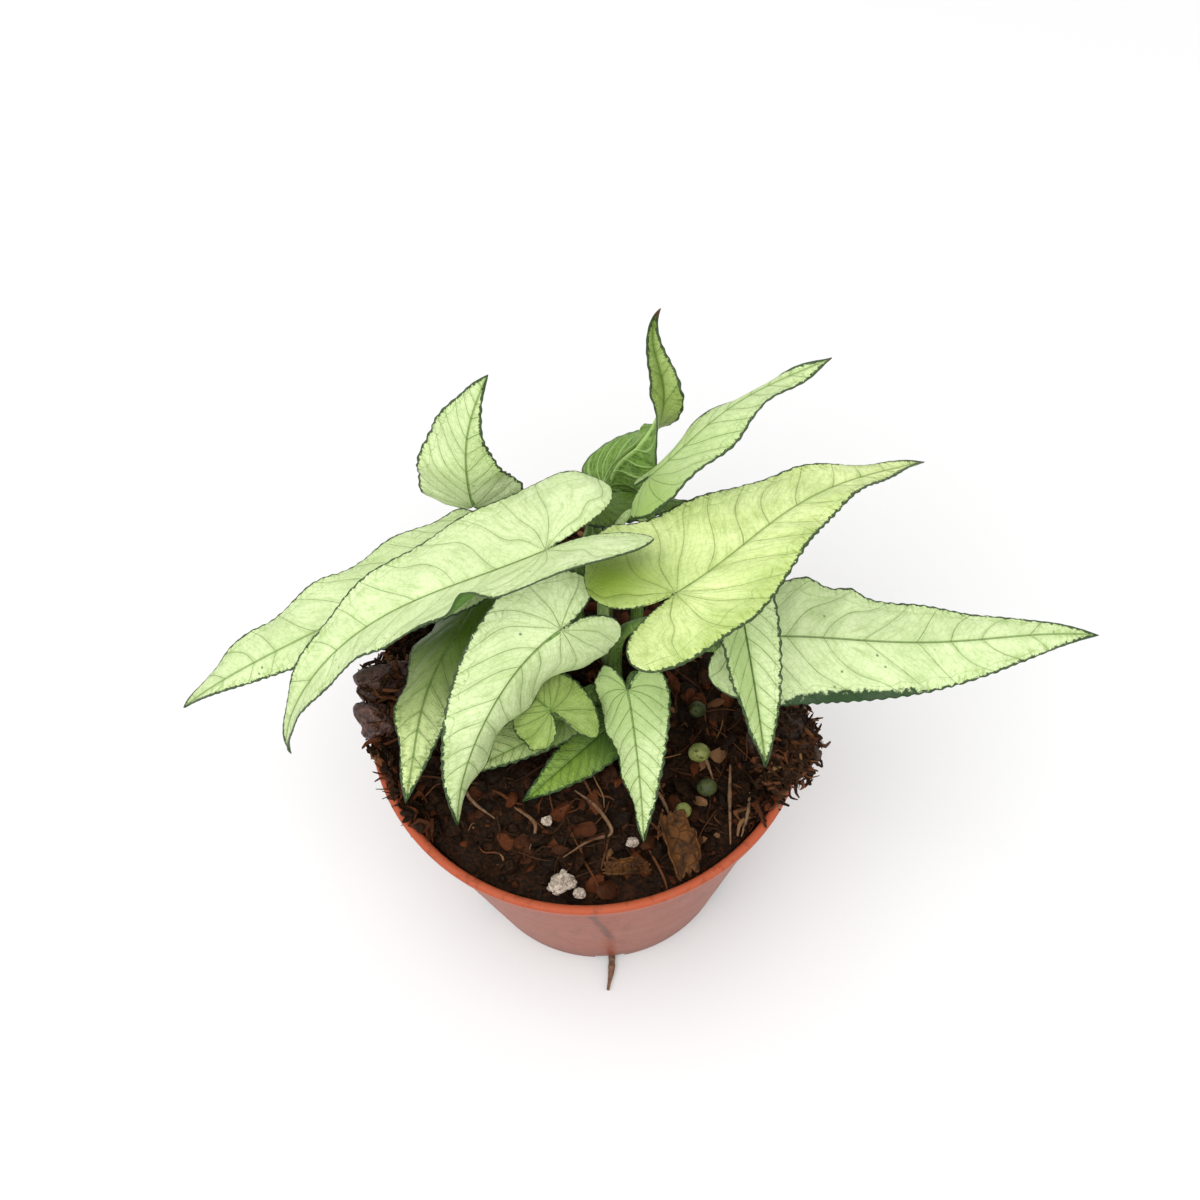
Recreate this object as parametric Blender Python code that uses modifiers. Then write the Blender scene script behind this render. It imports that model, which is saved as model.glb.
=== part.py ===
"""Arrowhead plant growing in a small terracotta-coloured plastic pot.

The scene is in metres with +Z up. The pot stands on z = 0, centred on the Z axis, and the front of the
plant faces -Y. The driving sizes below are in millimetres and the angles in degrees.
"""

import math
import random
from dataclasses import dataclass

import bmesh
import bpy
from mathutils import Vector, noise

MM = 0.001
GAP = 0.3

# Pot
POT_HEIGHT = 72.0
POT_FOOT_RADIUS = 31.0
POT_TOP_RADIUS = 44.2
POT_WALL = 0.9
POT_FLOOR = 1.2
LIP_OUT = 0.9
LIP_DROP = 2.6
POT_SEGMENTS = 56
SLOT_COUNT = 6
SLOT_WIDTH = 7.0
SLOT_HEIGHT = 3.4

# Soil
SOIL_EDGE = 67.5
SOIL_CROWN = 5.5
SOIL_SEGMENTS = 38
SOIL_RINGS = 9
SOIL_LUMP = 1.5
CHIP_COUNT = 32
CHIP_SIZE = (1.6, 3.6)

# Blades and petioles
BLADE_THICKNESS = 0.7
FINE_GRID = (16, 5, 3)
SMALL_GRID = (9, 4, 2)
SHOULDER = 0.08
RIB_STEPS = 16
PETIOLE_DEPTH = 10.0
PETIOLE_FOOT_RADIUS = 1.5
PETIOLE_TOP_RADIUS = 0.8
PETIOLE_STEPS = 12

PLANT_COLLECTION = "arrowhead_plant"
CUTTER_COLLECTION = "cutters"


@dataclass(frozen=True)
class Half:
    """One half of a blade, seen from the joint towards the tip."""

    width: float
    lobe: float
    fold: float = -8.0
    curl: float = -15.0
    hang: float = 15.0
    splay: float = 0.1
    fullness: float = 0.6
    wave: float = 0.7
    waves: float = 4.0
    phase: float = 0.0
    dents: tuple = ()


@dataclass(frozen=True)
class Leaf:
    """A blade and the petiole that carries it."""

    name: str
    joint: tuple
    heading: float
    pitch: float
    length: float
    left: Half
    right: Half
    foot: tuple
    colour: str = "pale_leaf"
    droop: float = 30.0
    late: float = 1.2
    sweep: float = 0.0
    sway: float = 0.0
    roll: float = 0.0
    twist: float = 0.0
    turning: tuple[float, float] = (0.0, 1.0)
    rise: float = 22.0
    arrive: float = 9.0
    fine: bool = True


LEAVES = [
    Leaf("leaf_far_left", (-20, 22.5, 97), -156, -8, 77, foot=(-8, 9), droop=42, late=1.5, sweep=-27,
         roll=-6,
         left=Half(width=10, lobe=5, fold=-5, curl=-12, fullness=0.2, wave=0.8, waves=3),
         right=Half(width=14, lobe=5, fold=-2, curl=-30, hang=20, splay=-0.1, fullness=1.0, wave=0.9, waves=4.4,
                    phase=0.3)),
    Leaf("leaf_front_left", (-5, 5, 122), -174, -24, 83, foot=(-1, 11), droop=66, late=2.6, sweep=14,
         sway=-8, roll=6, twist=-20, rise=42, arrive=5,
         left=Half(width=15.5, lobe=18.5, fold=26, curl=8, hang=32, splay=-0.08, fullness=0.2, wave=0.5, waves=5,
                   phase=0.2, dents=((0.715, 0.038, 4.3),)),
         right=Half(width=22, lobe=16, fold=0, curl=-27, hang=50, splay=0.2, fullness=-0.5, wave=0.6, waves=5)),
    Leaf("leaf_left_low", (-20.5, 17, 89), -114, 3, 45, foot=(-12, 4), droop=32, sweep=5, sway=-8,
         roll=14, twist=-10, colour="mid_leaf",
         left=Half(width=10, lobe=7, fold=-8),
         right=Half(width=11, lobe=7, fold=-12, curl=-28, wave=0.9)),
    Leaf("leaf_centre", (-3.4, -6, 112.5), -164, -33, 50.5, foot=(-5.5, 1.5), droop=37, sweep=56, sway=4,
         roll=-46, twist=-18,
         left=Half(width=16.5, lobe=11, fold=-23, curl=-38, hang=29, splay=-0.15, fullness=0.4, wave=0.9,
                   phase=0.4),
         right=Half(width=12, lobe=7, fold=-7, curl=-11, hang=50, splay=-0.1, fullness=0.4)),
    Leaf("leaf_under_centre", (-7, -11, 91), 133, 2, 14, foot=(1.5, -1.5), droop=10, roll=-10,
         colour="mid_leaf", rise=13, arrive=6, fine=False,
         left=Half(width=9, lobe=6, fold=-16, curl=-30, hang=40, splay=0.2, wave=0.4),
         right=Half(width=8, lobe=10, fold=-4, curl=-10, hang=50, splay=-0.1, wave=0.4)),
    Leaf("leaf_low_left", (-5, -8.6, 81.5), -153, -4, 24, foot=(-3, -4.2), droop=20, sweep=-15, roll=-6,
         colour="mid_leaf", rise=3, arrive=3, fine=False,
         left=Half(width=4, lobe=3, wave=0.4),
         right=Half(width=8, lobe=4, fold=-5, curl=-11, wave=0.4)),
    Leaf("leaf_low_dark", (4, -8.4, 77.5), -140, -3, 23, foot=(5.8, -7), droop=10, sweep=-6,
         colour="dark_leaf", rise=0.8, arrive=1.2, fine=False,
         left=Half(width=6.5, lobe=3, fold=8, fullness=1.0, wave=0.3),
         right=Half(width=5, lobe=3, fold=8, wave=0.3)),
    Leaf("leaf_front_small", (8, -9, 93), -84, -30, 30, foot=(11, -1), droop=14, sweep=-8, roll=16,
         twist=20, rise=10, arrive=6, fine=False,
         left=Half(width=8, lobe=4, fold=-7, hang=14, splay=0.15, fullness=0.3, wave=0.4),
         right=Half(width=8, lobe=6, fold=-16, curl=-20, hang=14, splay=0.05, fullness=0.3, wave=0.5)),
    Leaf("leaf_big_right", (17, -9, 127), 32, -5, 68, foot=(6, 4), droop=31, late=1.7, sweep=7, sway=8,
         roll=-20, colour="lime_leaf", rise=30,
         left=Half(width=24, lobe=12, fold=0, curl=0, hang=27, splay=0, fullness=-0.3, wave=0.7),
         right=Half(width=14, lobe=20, fold=10, curl=-34, hang=-27, splay=0.2, fullness=-0.2, wave=0.6)),
    Leaf("leaf_far_right", (30, -3.5, 100), 9, -12, 72, foot=(13, 4), droop=-6, sweep=-16, sway=-8,
         left=Half(width=15, lobe=8, fold=-10, curl=-5, fullness=0.4, wave=0.5, waves=3.4,
                   dents=((0.66, 0.03, 1.8), (0.56, 0.03, 1.6))),
         right=Half(width=13.5, lobe=8, fold=-12, curl=-14, hang=15, splay=-0.1, fullness=0.75, wave=0.8,
                    waves=5)),
    Leaf("leaf_right_down", (29, -3, 114), -82, -33, 33, foot=(15.5, 9), droop=24, rise=30, fine=False,
         left=Half(width=6.5, lobe=5, fold=20, fullness=0.9, wave=0.4),
         right=Half(width=6, lobe=5, fold=35, fullness=0.9, wave=0.4)),
    Leaf("leaf_back_small", (-19.5, 28, 105), 62, 95, 34, foot=(-4, 17.5), droop=45, sweep=-20, sway=8,
         roll=5, twist=-6, rise=28,
         left=Half(width=11, lobe=3, fold=0, curl=-4, splay=0.3, fullness=1.0, wave=0.7),
         right=Half(width=10.5, lobe=2.5, fold=-26, curl=-22, hang=0, splay=0.1, fullness=-0.5, wave=0.6)),
    Leaf("leaf_twisted", (7, 33, 101.5), 42, 66, 44, foot=(-1, 19), droop=33, sway=-64,
         roll=213, twist=-193, turning=(0.34, 0.64), colour="dark_leaf", arrive=4,
         left=Half(width=8.5, lobe=4, fold=10, curl=20, fullness=0.3, wave=0.4),
         right=Half(width=8, lobe=4, fold=20, curl=35, fullness=0.2, wave=0.4)),
    Leaf("leaf_back_right", (15, 21, 120), 19, 35, 40, foot=(11, 11.5), droop=31, late=1.4, sweep=3,
         sway=7, roll=-18, rise=30,
         left=Half(width=4.5, lobe=5, fold=-11, curl=-30, fullness=1.1, wave=0.9, waves=2.3),
         right=Half(width=9.2, lobe=6, fold=7, curl=-11, fullness=1.1, wave=1.2, waves=2.6, phase=0.5)),
    Leaf("leaf_back_dark", (5, 24.4, 107.5), -4, 8, 20, foot=(5, 19.5), droop=25, roll=-12, colour="dark_leaf",
         arrive=3, fine=False,
         left=Half(width=4.5, lobe=3, wave=0.4),
         right=Half(width=5.5, lobe=3, wave=0.4)),
]

# Hand-placed route of the new shoot, from its foot in the soil to its rolled tip
SHOOT_FOOT = (4.5, 8.5)
SHOOT_ROUTE = [(4.5, 10.5, 92), (6, 14, 105), (9, 17, 111.5), (12, 17.8, 113), (15.7, 13.7, 110)]

# The root that leaves the front slot and lies on the surface
ROOT_RADIUS = 0.8
ROOT_ROUTE = [(-1, -39, 0.85), (0, -35, 0.9), (0.4, -32, 0.9), (0.5, -29.6, 1.4), (0.5, -28.6, 3.5),
              (0.5, -28.6, 9)]

# Loose pieces on the soil: centres and radii of the blobs that each one is fused from
CLUMPS = {
    "bark_chip_upper": ("bark", [((-38, 8, 72.3), (4, 4.5, 4)), ((-43, 8.5, 75.6), (5, 5, 2.6))]),
    "bark_chip_lower": ("bark", [((-38.4, -2, 72.3), (4, 3.8, 4)), ((-43, -1.5, 75.6), (4.6, 4.4, 2.6))]),
    "fibre_clump": ("fibre", [((35, -10, 72), (4.2, 5.5, 4)), ((41, -11, 75.8), (5, 6, 3)),
                              ((44.9, -13.5, 73.5), (1.7, 4.5, 4.5)), ((45, -15.5, 68), (1.2, 2.4, 5)),
                              ((34, -17.5, 71.5), (3.8, 4.5, 3.6)), ((38.5, -20.5, 74.8), (4.6, 3.6, 2))]),
    "perlite_cluster": ("perlite", [((-8.5, -39.2, 71), (1.9, 1.6, 1.6)), ((-6.3, -38.2, 71.3), (1.7, 1.5, 1.5)),
                                    ((-7.6, -37.4, 71.4), (1.6, 1.5, 1.4))]),
    "perlite_1": ("perlite", [((-4.2, -40.6, 70.6), (1.3, 1.1, 1.1))]),
    "perlite_2": ("perlite", [((6.7, -31.5, 72.6), (1.3, 1.2, 1.1))]),
    "perlite_3": ("perlite", [((-9.5, -26, 73.2), (1.2, 1.1, 1))]),
    "bead_1": ("bead", [((21.4, -14.5, 74.6), (2.2, 2, 1.9))]),
    "bead_2": ("bead", [((17.2, -26, 73.1), (1.6, 1.6, 1.5))]),
    "bead_3": ("bead_dark", [((22.3, -21.5, 73.3), (2, 1.8, 1.7))]),
    "bead_4": ("bead_dark", [((22, -5, 74.9), (1.8, 1.7, 1.6))]),
}

# Curled dry leaf pieces: centre, length, width, curl across, turn and lean
DRY_LEAVES = {
    "dry_leaf_1": ((15.5, -33.5, 74.6), 12.0, 8.5, 150.0, 20.0, 24.0),
    "dry_leaf_2": ((5.4, -37.0, 72.6), 9.0, 4.6, 170.0, 100.0, 18.0),
}

# Finish of each sub-part: colour (linear RGB), roughness
FINISHES = {
    "terracotta_plastic": ((0.46, 0.11, 0.055), 0.38),
    "soil": ((0.022, 0.013, 0.009), 0.95),
    "pale_leaf": ((0.55, 0.68, 0.36), 0.45),
    "lime_leaf": ((0.50, 0.64, 0.20), 0.42),
    "mid_leaf": ((0.30, 0.45, 0.14), 0.45),
    "dark_leaf": ((0.10, 0.24, 0.035), 0.45),
    "shoot": ((0.45, 0.60, 0.25), 0.45),
    "bark": ((0.10, 0.045, 0.028), 0.9),
    "fibre": ((0.09, 0.055, 0.028), 0.95),
    "perlite": ((0.75, 0.73, 0.66), 0.9),
    "bead": ((0.42, 0.50, 0.22), 0.5),
    "bead_dark": ((0.06, 0.08, 0.03), 0.5),
    "dry_leaf": ((0.17, 0.085, 0.035), 0.8),
    "root": ((0.20, 0.095, 0.045), 0.8),
}


def clear_scene():
    """Remove what the scene holds, without resetting Blender."""
    for obj in list(bpy.data.objects):
        bpy.data.objects.remove(obj, do_unlink=True)


def make_collection(name):
    """Add a collection to the scene."""
    collection = bpy.data.collections.new(name)
    bpy.context.scene.collection.children.link(collection)
    return collection


def finish_material(name):
    """Return the Principled material called name, made from FINISHES."""
    if name in bpy.data.materials:
        return bpy.data.materials[name]
    colour, roughness = FINISHES[name]
    material = bpy.data.materials.new(name)
    material.use_nodes = True
    material.diffuse_color = (*colour, 1.0)
    shader = material.node_tree.nodes["Principled BSDF"]
    shader.inputs["Base Color"].default_value = (*colour, 1.0)
    shader.inputs["Roughness"].default_value = roughness
    shader.inputs["Metallic"].default_value = 0.0
    return material


def add_object(name, mesh, collection, finish=None, smooth=True):
    """Wrap a mesh in an object, in its collection and with its material."""
    obj = bpy.data.objects.new(name, mesh)
    collection.objects.link(obj)
    if finish:
        mesh.materials.append(finish_material(finish))
    mesh.polygons.foreach_set("use_smooth", [smooth] * len(mesh.polygons))
    return obj


def mesh_from_bmesh(name, bm):
    """Write a bmesh to a new mesh and free it."""
    mesh = bpy.data.meshes.new(name)
    bm.to_mesh(mesh)
    bm.free()
    return mesh


def hide_cutter(obj):
    """Show a cutter as wire and keep it out of renders."""
    obj.hide_render = True
    obj.display_type = "WIRE"


def mesh_evaluated(obj):
    """Return a new mesh of the object with its modifiers applied."""
    graph = bpy.context.evaluated_depsgraph_get()
    return bpy.data.meshes.new_from_object(obj.evaluated_get(graph))


def apply_modifiers(obj):
    """Replace the object's mesh by its evaluated one."""
    mesh = mesh_evaluated(obj)
    obj.modifiers.clear()
    obj.data = mesh


def spline_tube(name, route, radii, collection, finish=None, sides=1):
    """Make a tapered tube along hand-placed points, as a closed mesh object."""
    curve = bpy.data.curves.new(name, "CURVE")
    curve.dimensions = "3D"
    curve.bevel_depth = MM
    curve.bevel_resolution = sides
    curve.use_fill_caps = True
    spline = curve.splines.new("POLY")
    spline.points.add(len(route) - 1)
    for point, place, radius in zip(spline.points, route, radii):
        point.co = (*(Vector(place) * MM), 1.0)
        point.radius = radius
    tube = bpy.data.objects.new(name + "_curve", curve)
    collection.objects.link(tube)
    mesh = mesh_evaluated(tube)
    bpy.data.objects.remove(tube, do_unlink=True)
    bm = bmesh.new()
    bm.from_mesh(mesh)
    bmesh.ops.remove_doubles(bm, verts=bm.verts, dist=0.01 * MM)
    bmesh.ops.recalc_face_normals(bm, faces=bm.faces)
    bm.to_mesh(mesh)
    bm.free()
    mesh.materials.clear()
    return add_object(name, mesh, collection, finish)


def smooth_route(points, count):
    """Return count + 1 places on a smooth curve through the given points."""
    places = [Vector(point) for point in points]
    ends = [2 * places[0] - places[1]] + places + [2 * places[-1] - places[-2]]
    route = []
    for index in range(count + 1):
        share = index / count * (len(places) - 1)
        span = min(int(share), len(places) - 2)
        t = share - span
        a, b, c, d = ends[span:span + 4]
        route.append(0.5 * (2 * b + (c - a) * t + (2 * a - 5 * b + 4 * c - d) * t ** 2
                            + (3 * b - a - 3 * c + d) * t ** 3))
    return route


# Pot


def pot_outer_radius(z):
    """Outer radius of the pot's wall at height z."""
    return POT_FOOT_RADIUS + (POT_TOP_RADIUS - POT_FOOT_RADIUS) * z / POT_HEIGHT


def pot_inner_radius(z):
    """Inner radius of the pot's wall at height z."""
    return pot_outer_radius(z) - POT_WALL


def turned(name, profile, segments, collection, finish):
    """Turn a profile of (radius, height) points about Z with a Screw modifier."""
    bm = bmesh.new()
    verts = [bm.verts.new((radius * MM, 0.0, height * MM)) for radius, height in profile]
    for start, end in zip(verts, verts[1:]):
        bm.edges.new((start, end))
    obj = add_object(name, mesh_from_bmesh(name, bm), collection, finish)
    screw = obj.modifiers.new("turn", "SCREW")
    screw.steps = segments
    screw.render_steps = segments
    screw.use_merge_vertices = True
    screw.merge_threshold = 0.01 * MM
    screw.use_smooth_shade = True
    return obj


def build_pot(collection, cutters):
    """Turn the thin-walled pot with its rolled lip and cut the drainage slots at its foot."""
    top = POT_HEIGHT
    lip = POT_TOP_RADIUS + LIP_OUT
    profile = [
        (0.0, POT_FLOOR),
        (pot_inner_radius(POT_FLOOR) - 1.0, POT_FLOOR),
        (pot_inner_radius(POT_FLOOR + 1.0), POT_FLOOR + 1.0),
        (pot_inner_radius(top - 1.0), top - 1.0),
        (pot_inner_radius(top) + 0.2, top - 0.2),
        (POT_TOP_RADIUS, top),
        (lip - 0.3, top - 0.4),
        (lip, top - 1.2),
        (lip - 0.1, top - LIP_DROP + 0.5),
        (lip - 0.5, top - LIP_DROP),
        (pot_outer_radius(top - LIP_DROP - 0.6), top - LIP_DROP - 0.6),
        (pot_outer_radius(2.0), 2.0),
        (POT_FOOT_RADIUS - 0.3, 0.4),
        (POT_FOOT_RADIUS - 0.8, 0.0),
        (0.0, 0.0),
    ]
    pot = turned("pot", profile, POT_SEGMENTS, collection, "terracotta_plastic")
    slots = make_slot_cutters(cutters)
    cut = pot.modifiers.new("slots", "BOOLEAN")
    cut.operand_type = "COLLECTION"
    cut.collection = slots
    cut.operation = "DIFFERENCE"
    return pot


def make_slot_cutters(cutters):
    """Make the ring of box cutters for the drainage slots, the first one at the front."""
    slots = bpy.data.collections.new("slot_cutters")
    cutters.children.link(slots)
    for index in range(SLOT_COUNT):
        angle = -math.pi / 2 + index * 2 * math.pi / SLOT_COUNT
        bm = bmesh.new()
        bmesh.ops.create_cube(bm, size=1.0)
        bmesh.ops.scale(bm, vec=(6 * MM, SLOT_WIDTH * MM, SLOT_HEIGHT * 2 * MM), verts=bm.verts)
        slot = add_object(f"slot_cutter_{index + 1}", mesh_from_bmesh("slot", bm), slots)
        slot.location = (POT_FOOT_RADIUS * MM * math.cos(angle), POT_FOOT_RADIUS * MM * math.sin(angle), 0)
        slot.rotation_euler[2] = angle
        hide_cutter(slot)
    return slots


# Soil


def soil_level(x, y):
    """Height of the smooth soil mound at a place."""
    share = math.hypot(x, y) / pot_inner_radius(SOIL_EDGE)
    return SOIL_EDGE + SOIL_CROWN * max(0.0, 1.0 - share ** 2)


def build_soil(collection, cutters):
    """Turn the mound of soil, roughen its top, fuse chips into it and cut its holes."""
    rim = pot_inner_radius(SOIL_EDGE) - GAP
    bottom = POT_FLOOR + GAP
    foot = pot_inner_radius(bottom + 1.0) - GAP
    profile = [(0.0, soil_level(0, 0))]
    for ring in range(1, SOIL_RINGS + 1):
        radius = rim * ring / SOIL_RINGS
        profile.append((radius, soil_level(radius, 0)))
    profile += [(foot, bottom + 1.0), (foot - 1.0, bottom), (0.0, bottom)]
    soil = turned("soil", profile, SOIL_SEGMENTS, collection, "soil")
    apply_modifiers(soil)
    for vert in soil.data.vertices:
        x, y, z = vert.co / MM
        radius = math.hypot(x, y)
        if z > SOIL_EDGE - 1.0 and radius < rim - 0.5:
            ease = min(1.0, (rim - radius) / 4.0)
            lump = noise.fractal(Vector((x, y, 0.0)) * 0.16, 0.8, 2.0, 3)
            vert.co.z += SOIL_LUMP * lump * ease * MM
    fuse_chips(soil, cutters)
    return soil


def chip_mesh(name, rng, radii):
    """Make a rough six-sided chip."""
    bm = bmesh.new()
    bmesh.ops.create_cone(bm, cap_ends=True, segments=5, radius1=1.0, radius2=0.6, depth=1.6)
    for vert in bm.verts:
        vert.co = Vector(c * r * MM * rng.uniform(0.8, 1.2) for c, r in zip(vert.co, radii))
    return mesh_from_bmesh(name, bm)


def fuse_chips(soil, cutters):
    """Fuse seeded chips of bark into the top of the soil with one Boolean union."""
    rng = random.Random(14)
    chips = bpy.data.collections.new("chips")
    cutters.children.link(chips)
    for index in range(CHIP_COUNT):
        reach = (pot_inner_radius(SOIL_EDGE) - 4.5) * math.sqrt(rng.random())
        angle = rng.uniform(0, 2 * math.pi)
        x, y = reach * math.cos(angle), reach * math.sin(angle)
        size = rng.uniform(*CHIP_SIZE)
        radii = (size, size * rng.uniform(0.45, 0.8), size * rng.uniform(0.3, 0.5))
        chip = add_object(f"chip_{index + 1}", chip_mesh("chip", rng, radii), chips)
        chip.location = (x * MM, y * MM, (soil_level(x, y) + 0.1) * MM)
        chip.rotation_euler = (rng.uniform(-0.7, 0.7), rng.uniform(-0.7, 0.7), rng.uniform(0, 6.28))
    fuse = soil.modifiers.new("chips", "BOOLEAN")
    fuse.operand_type = "COLLECTION"
    fuse.collection = chips
    fuse.operation = "UNION"
    fuse.solver = "MANIFOLD"
    apply_modifiers(soil)
    for chip in list(chips.objects):
        bpy.data.objects.remove(chip, do_unlink=True)
    bpy.data.collections.remove(chips)


def hole_cutter(name, place, radius, depth, collection):
    """Make a plain round cutter, going down from above the soil."""
    bm = bmesh.new()
    bmesh.ops.create_cone(bm, cap_ends=True, segments=12, radius1=radius * MM, radius2=radius * MM,
                          depth=(depth + 12.0) * MM)
    hole = add_object(name, mesh_from_bmesh(name, bm), collection)
    x, y = place
    hole.location = (x * MM, y * MM, (soil_level(x, y) + 6.0 - depth / 2) * MM)
    hide_cutter(hole)


def seat_cutter(piece, collection):
    """Copy a piece that lies on the soil, grown by the gap, as the cutter of its seat."""
    bm = bmesh.new()
    bm.from_mesh(mesh_evaluated(piece))
    bm.normal_update()
    for vert in bm.verts:
        vert.co += vert.normal * (GAP + 0.1) * MM
    seat = add_object(piece.name + "_seat", mesh_from_bmesh("seat", bm), collection)
    hide_cutter(seat)


def cut_soil(soil, pieces, cutters):
    """Cut the petiole holes, the root's hole and the seats of the loose pieces."""
    holes = bpy.data.collections.new("soil_cutters")
    cutters.children.link(holes)
    for leaf in LEAVES:
        hole_cutter(leaf.name + "_hole", leaf.foot, PETIOLE_FOOT_RADIUS + 0.4, PETIOLE_DEPTH + 0.5, holes)
    hole_cutter("shoot_hole", SHOOT_FOOT, PETIOLE_FOOT_RADIUS + 0.4, PETIOLE_DEPTH + 0.5, holes)
    bm = bmesh.new()
    bmesh.ops.create_cone(bm, cap_ends=True, segments=12, radius1=2.6 * MM, radius2=1.4 * MM, depth=14 * MM)
    root_hole = add_object("root_hole", mesh_from_bmesh("root_hole", bm), holes)
    root_hole.location = (0.5 * MM, -28.9 * MM, 3.5 * MM)
    hide_cutter(root_hole)
    for piece in pieces:
        seat_cutter(piece, holes)
    cut = soil.modifiers.new("holes", "BOOLEAN")
    cut.operand_type = "COLLECTION"
    cut.collection = holes
    cut.operation = "DIFFERENCE"
    cut.solver = "MANIFOLD"


# Leaves


def direction(heading, pitch):
    """Unit vector with this heading from +X and this pitch above the level."""
    h, p = math.radians(heading), math.radians(pitch)
    return Vector((math.cos(p) * math.cos(h), math.cos(p) * math.sin(h), math.sin(p)))


def rib_angles(leaf, half, p):
    """Heading and pitch of the blade at p mm from the joint, negative in the lobe."""
    if p < 0:
        return leaf.heading, leaf.pitch - half.hang * p / half.lobe
    s = min(p / leaf.length, 1.0)
    heading = leaf.heading + leaf.sweep * s + leaf.sway * math.sin(2 * math.pi * s)
    return heading, leaf.pitch - leaf.droop * s ** leaf.late


def rib_point(leaf, half, p):
    """Place on the midrib's line at p mm from the joint."""
    place = Vector(leaf.joint)
    step = p / RIB_STEPS
    for index in range(RIB_STEPS):
        place += direction(*rib_angles(leaf, half, step * (index + 0.5))) * step
    return place


def rib_frame(leaf, half, p):
    """Directions along the blade, to its left and up from its face, at p mm from the joint."""
    heading, pitch = rib_angles(leaf, half, p)
    along = direction(heading, pitch)
    level = direction(heading + 90, 0)
    up = along.cross(level)
    first, last = leaf.turning
    turned = min(max((p / leaf.length - first) / (last - first), 0.0), 1.0)
    turn = math.radians(leaf.roll + leaf.twist * turned)
    left = level * math.cos(turn) + up * math.sin(turn)
    return along, left, up * math.cos(turn) - level * math.sin(turn)


def leaf_grid(leaf):
    """Rows of the blade, rows of the lobe and columns of half a leaf's mesh."""
    return FINE_GRID if leaf.fine else SMALL_GRID


def outline(leaf, half, v):
    """Margin and inner line of a half blade at v, from 0 at the tip to 1 at the lobe's end."""
    blade_rows, lobe_rows, _ = leaf_grid(leaf)
    join = blade_rows / (blade_rows + lobe_rows)
    shoulder = SHOULDER * leaf.length
    if v <= join:
        x = 1.0 - v / join
        margin = (shoulder + (leaf.length - shoulder) * x, half.width * (1 - x) * (1 + half.fullness * x))
        return margin, (leaf.length * x, 0.0)
    turn = (v - join) / (1 - join) * math.pi / 2
    end = half.width * 0.5
    back = shoulder - (shoulder + half.lobe) * math.sin(turn)
    out = end + (half.width - end) * math.cos(turn) + half.splay * max(-back, 0.0)
    inner = -half.lobe * math.sin(turn)
    notch = max(end * (1 - math.cos(turn)) - half.splay * inner, 0.0) + 0.4 * math.sin(turn)
    return (back, out), (inner, notch)


def blade_point(leaf, half, side, u, v):
    """Place on the blade: u from the midrib to the margin, v from the tip to the lobe's end."""
    (p_out, q_out), (p_in, q_in) = outline(leaf, half, v)
    if v >= 1.0:
        p_out, q_out = p_in, q_in
    p = p_in + (p_out - p_in) * u
    q = q_in + (q_out - q_in) * u
    _, left, up = rib_frame(leaf, half, p)
    bend = math.radians(half.curl or 0.1) / half.width
    start = math.radians(half.fold)
    end = start + bend * q
    reach = (math.sin(end) - math.sin(start)) / bend
    rise = (math.cos(start) - math.cos(end)) / bend
    outward = left * side
    ripple = half.wave * math.sin(2 * math.pi * (half.waves * v + half.phase))
    for place, spread, height in half.dents:
        ripple += height * math.exp(-((v - place) / spread) ** 2)
    ripple *= u ** 2 * math.sin(math.pi * v) ** 0.5 if 0 < v < 1 else 0.0
    lift = up * math.cos(end) - outward * math.sin(end)
    return rib_point(leaf, half, p) + outward * reach + up * rise + lift * ripple


def add_half_blade(bm, leaf, half, side):
    """Add one half of the blade to the bmesh as a shaped grid."""
    blade_rows, lobe_rows, columns = leaf_grid(leaf)
    rows = blade_rows + lobe_rows
    grid = bmesh.ops.create_grid(bm, x_segments=columns, y_segments=rows, size=1.0)
    for vert in grid["verts"]:
        u = round((vert.co.x + 1) / 2 * columns) / columns
        v = round((vert.co.y + 1) / 2 * rows) / rows
        vert.co = blade_point(leaf, half, side, u, v) * MM


def build_blade(leaf, collection):
    """Make the closed blade of a leaf: two shaped halves joined at the midrib, with a thickness."""
    bm = bmesh.new()
    add_half_blade(bm, leaf, leaf.left, 1.0)
    add_half_blade(bm, leaf, leaf.right, -1.0)
    bmesh.ops.remove_doubles(bm, verts=bm.verts, dist=0.02 * MM)
    bmesh.ops.triangulate(bm, faces=bm.faces)
    bmesh.ops.recalc_face_normals(bm, faces=bm.faces)
    blade = add_object(leaf.name, mesh_from_bmesh(leaf.name, bm), collection, leaf.colour)
    solid = blade.modifiers.new("thickness", "SOLIDIFY")
    solid.thickness = BLADE_THICKNESS * MM
    solid.offset = 0.0
    return blade


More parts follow.
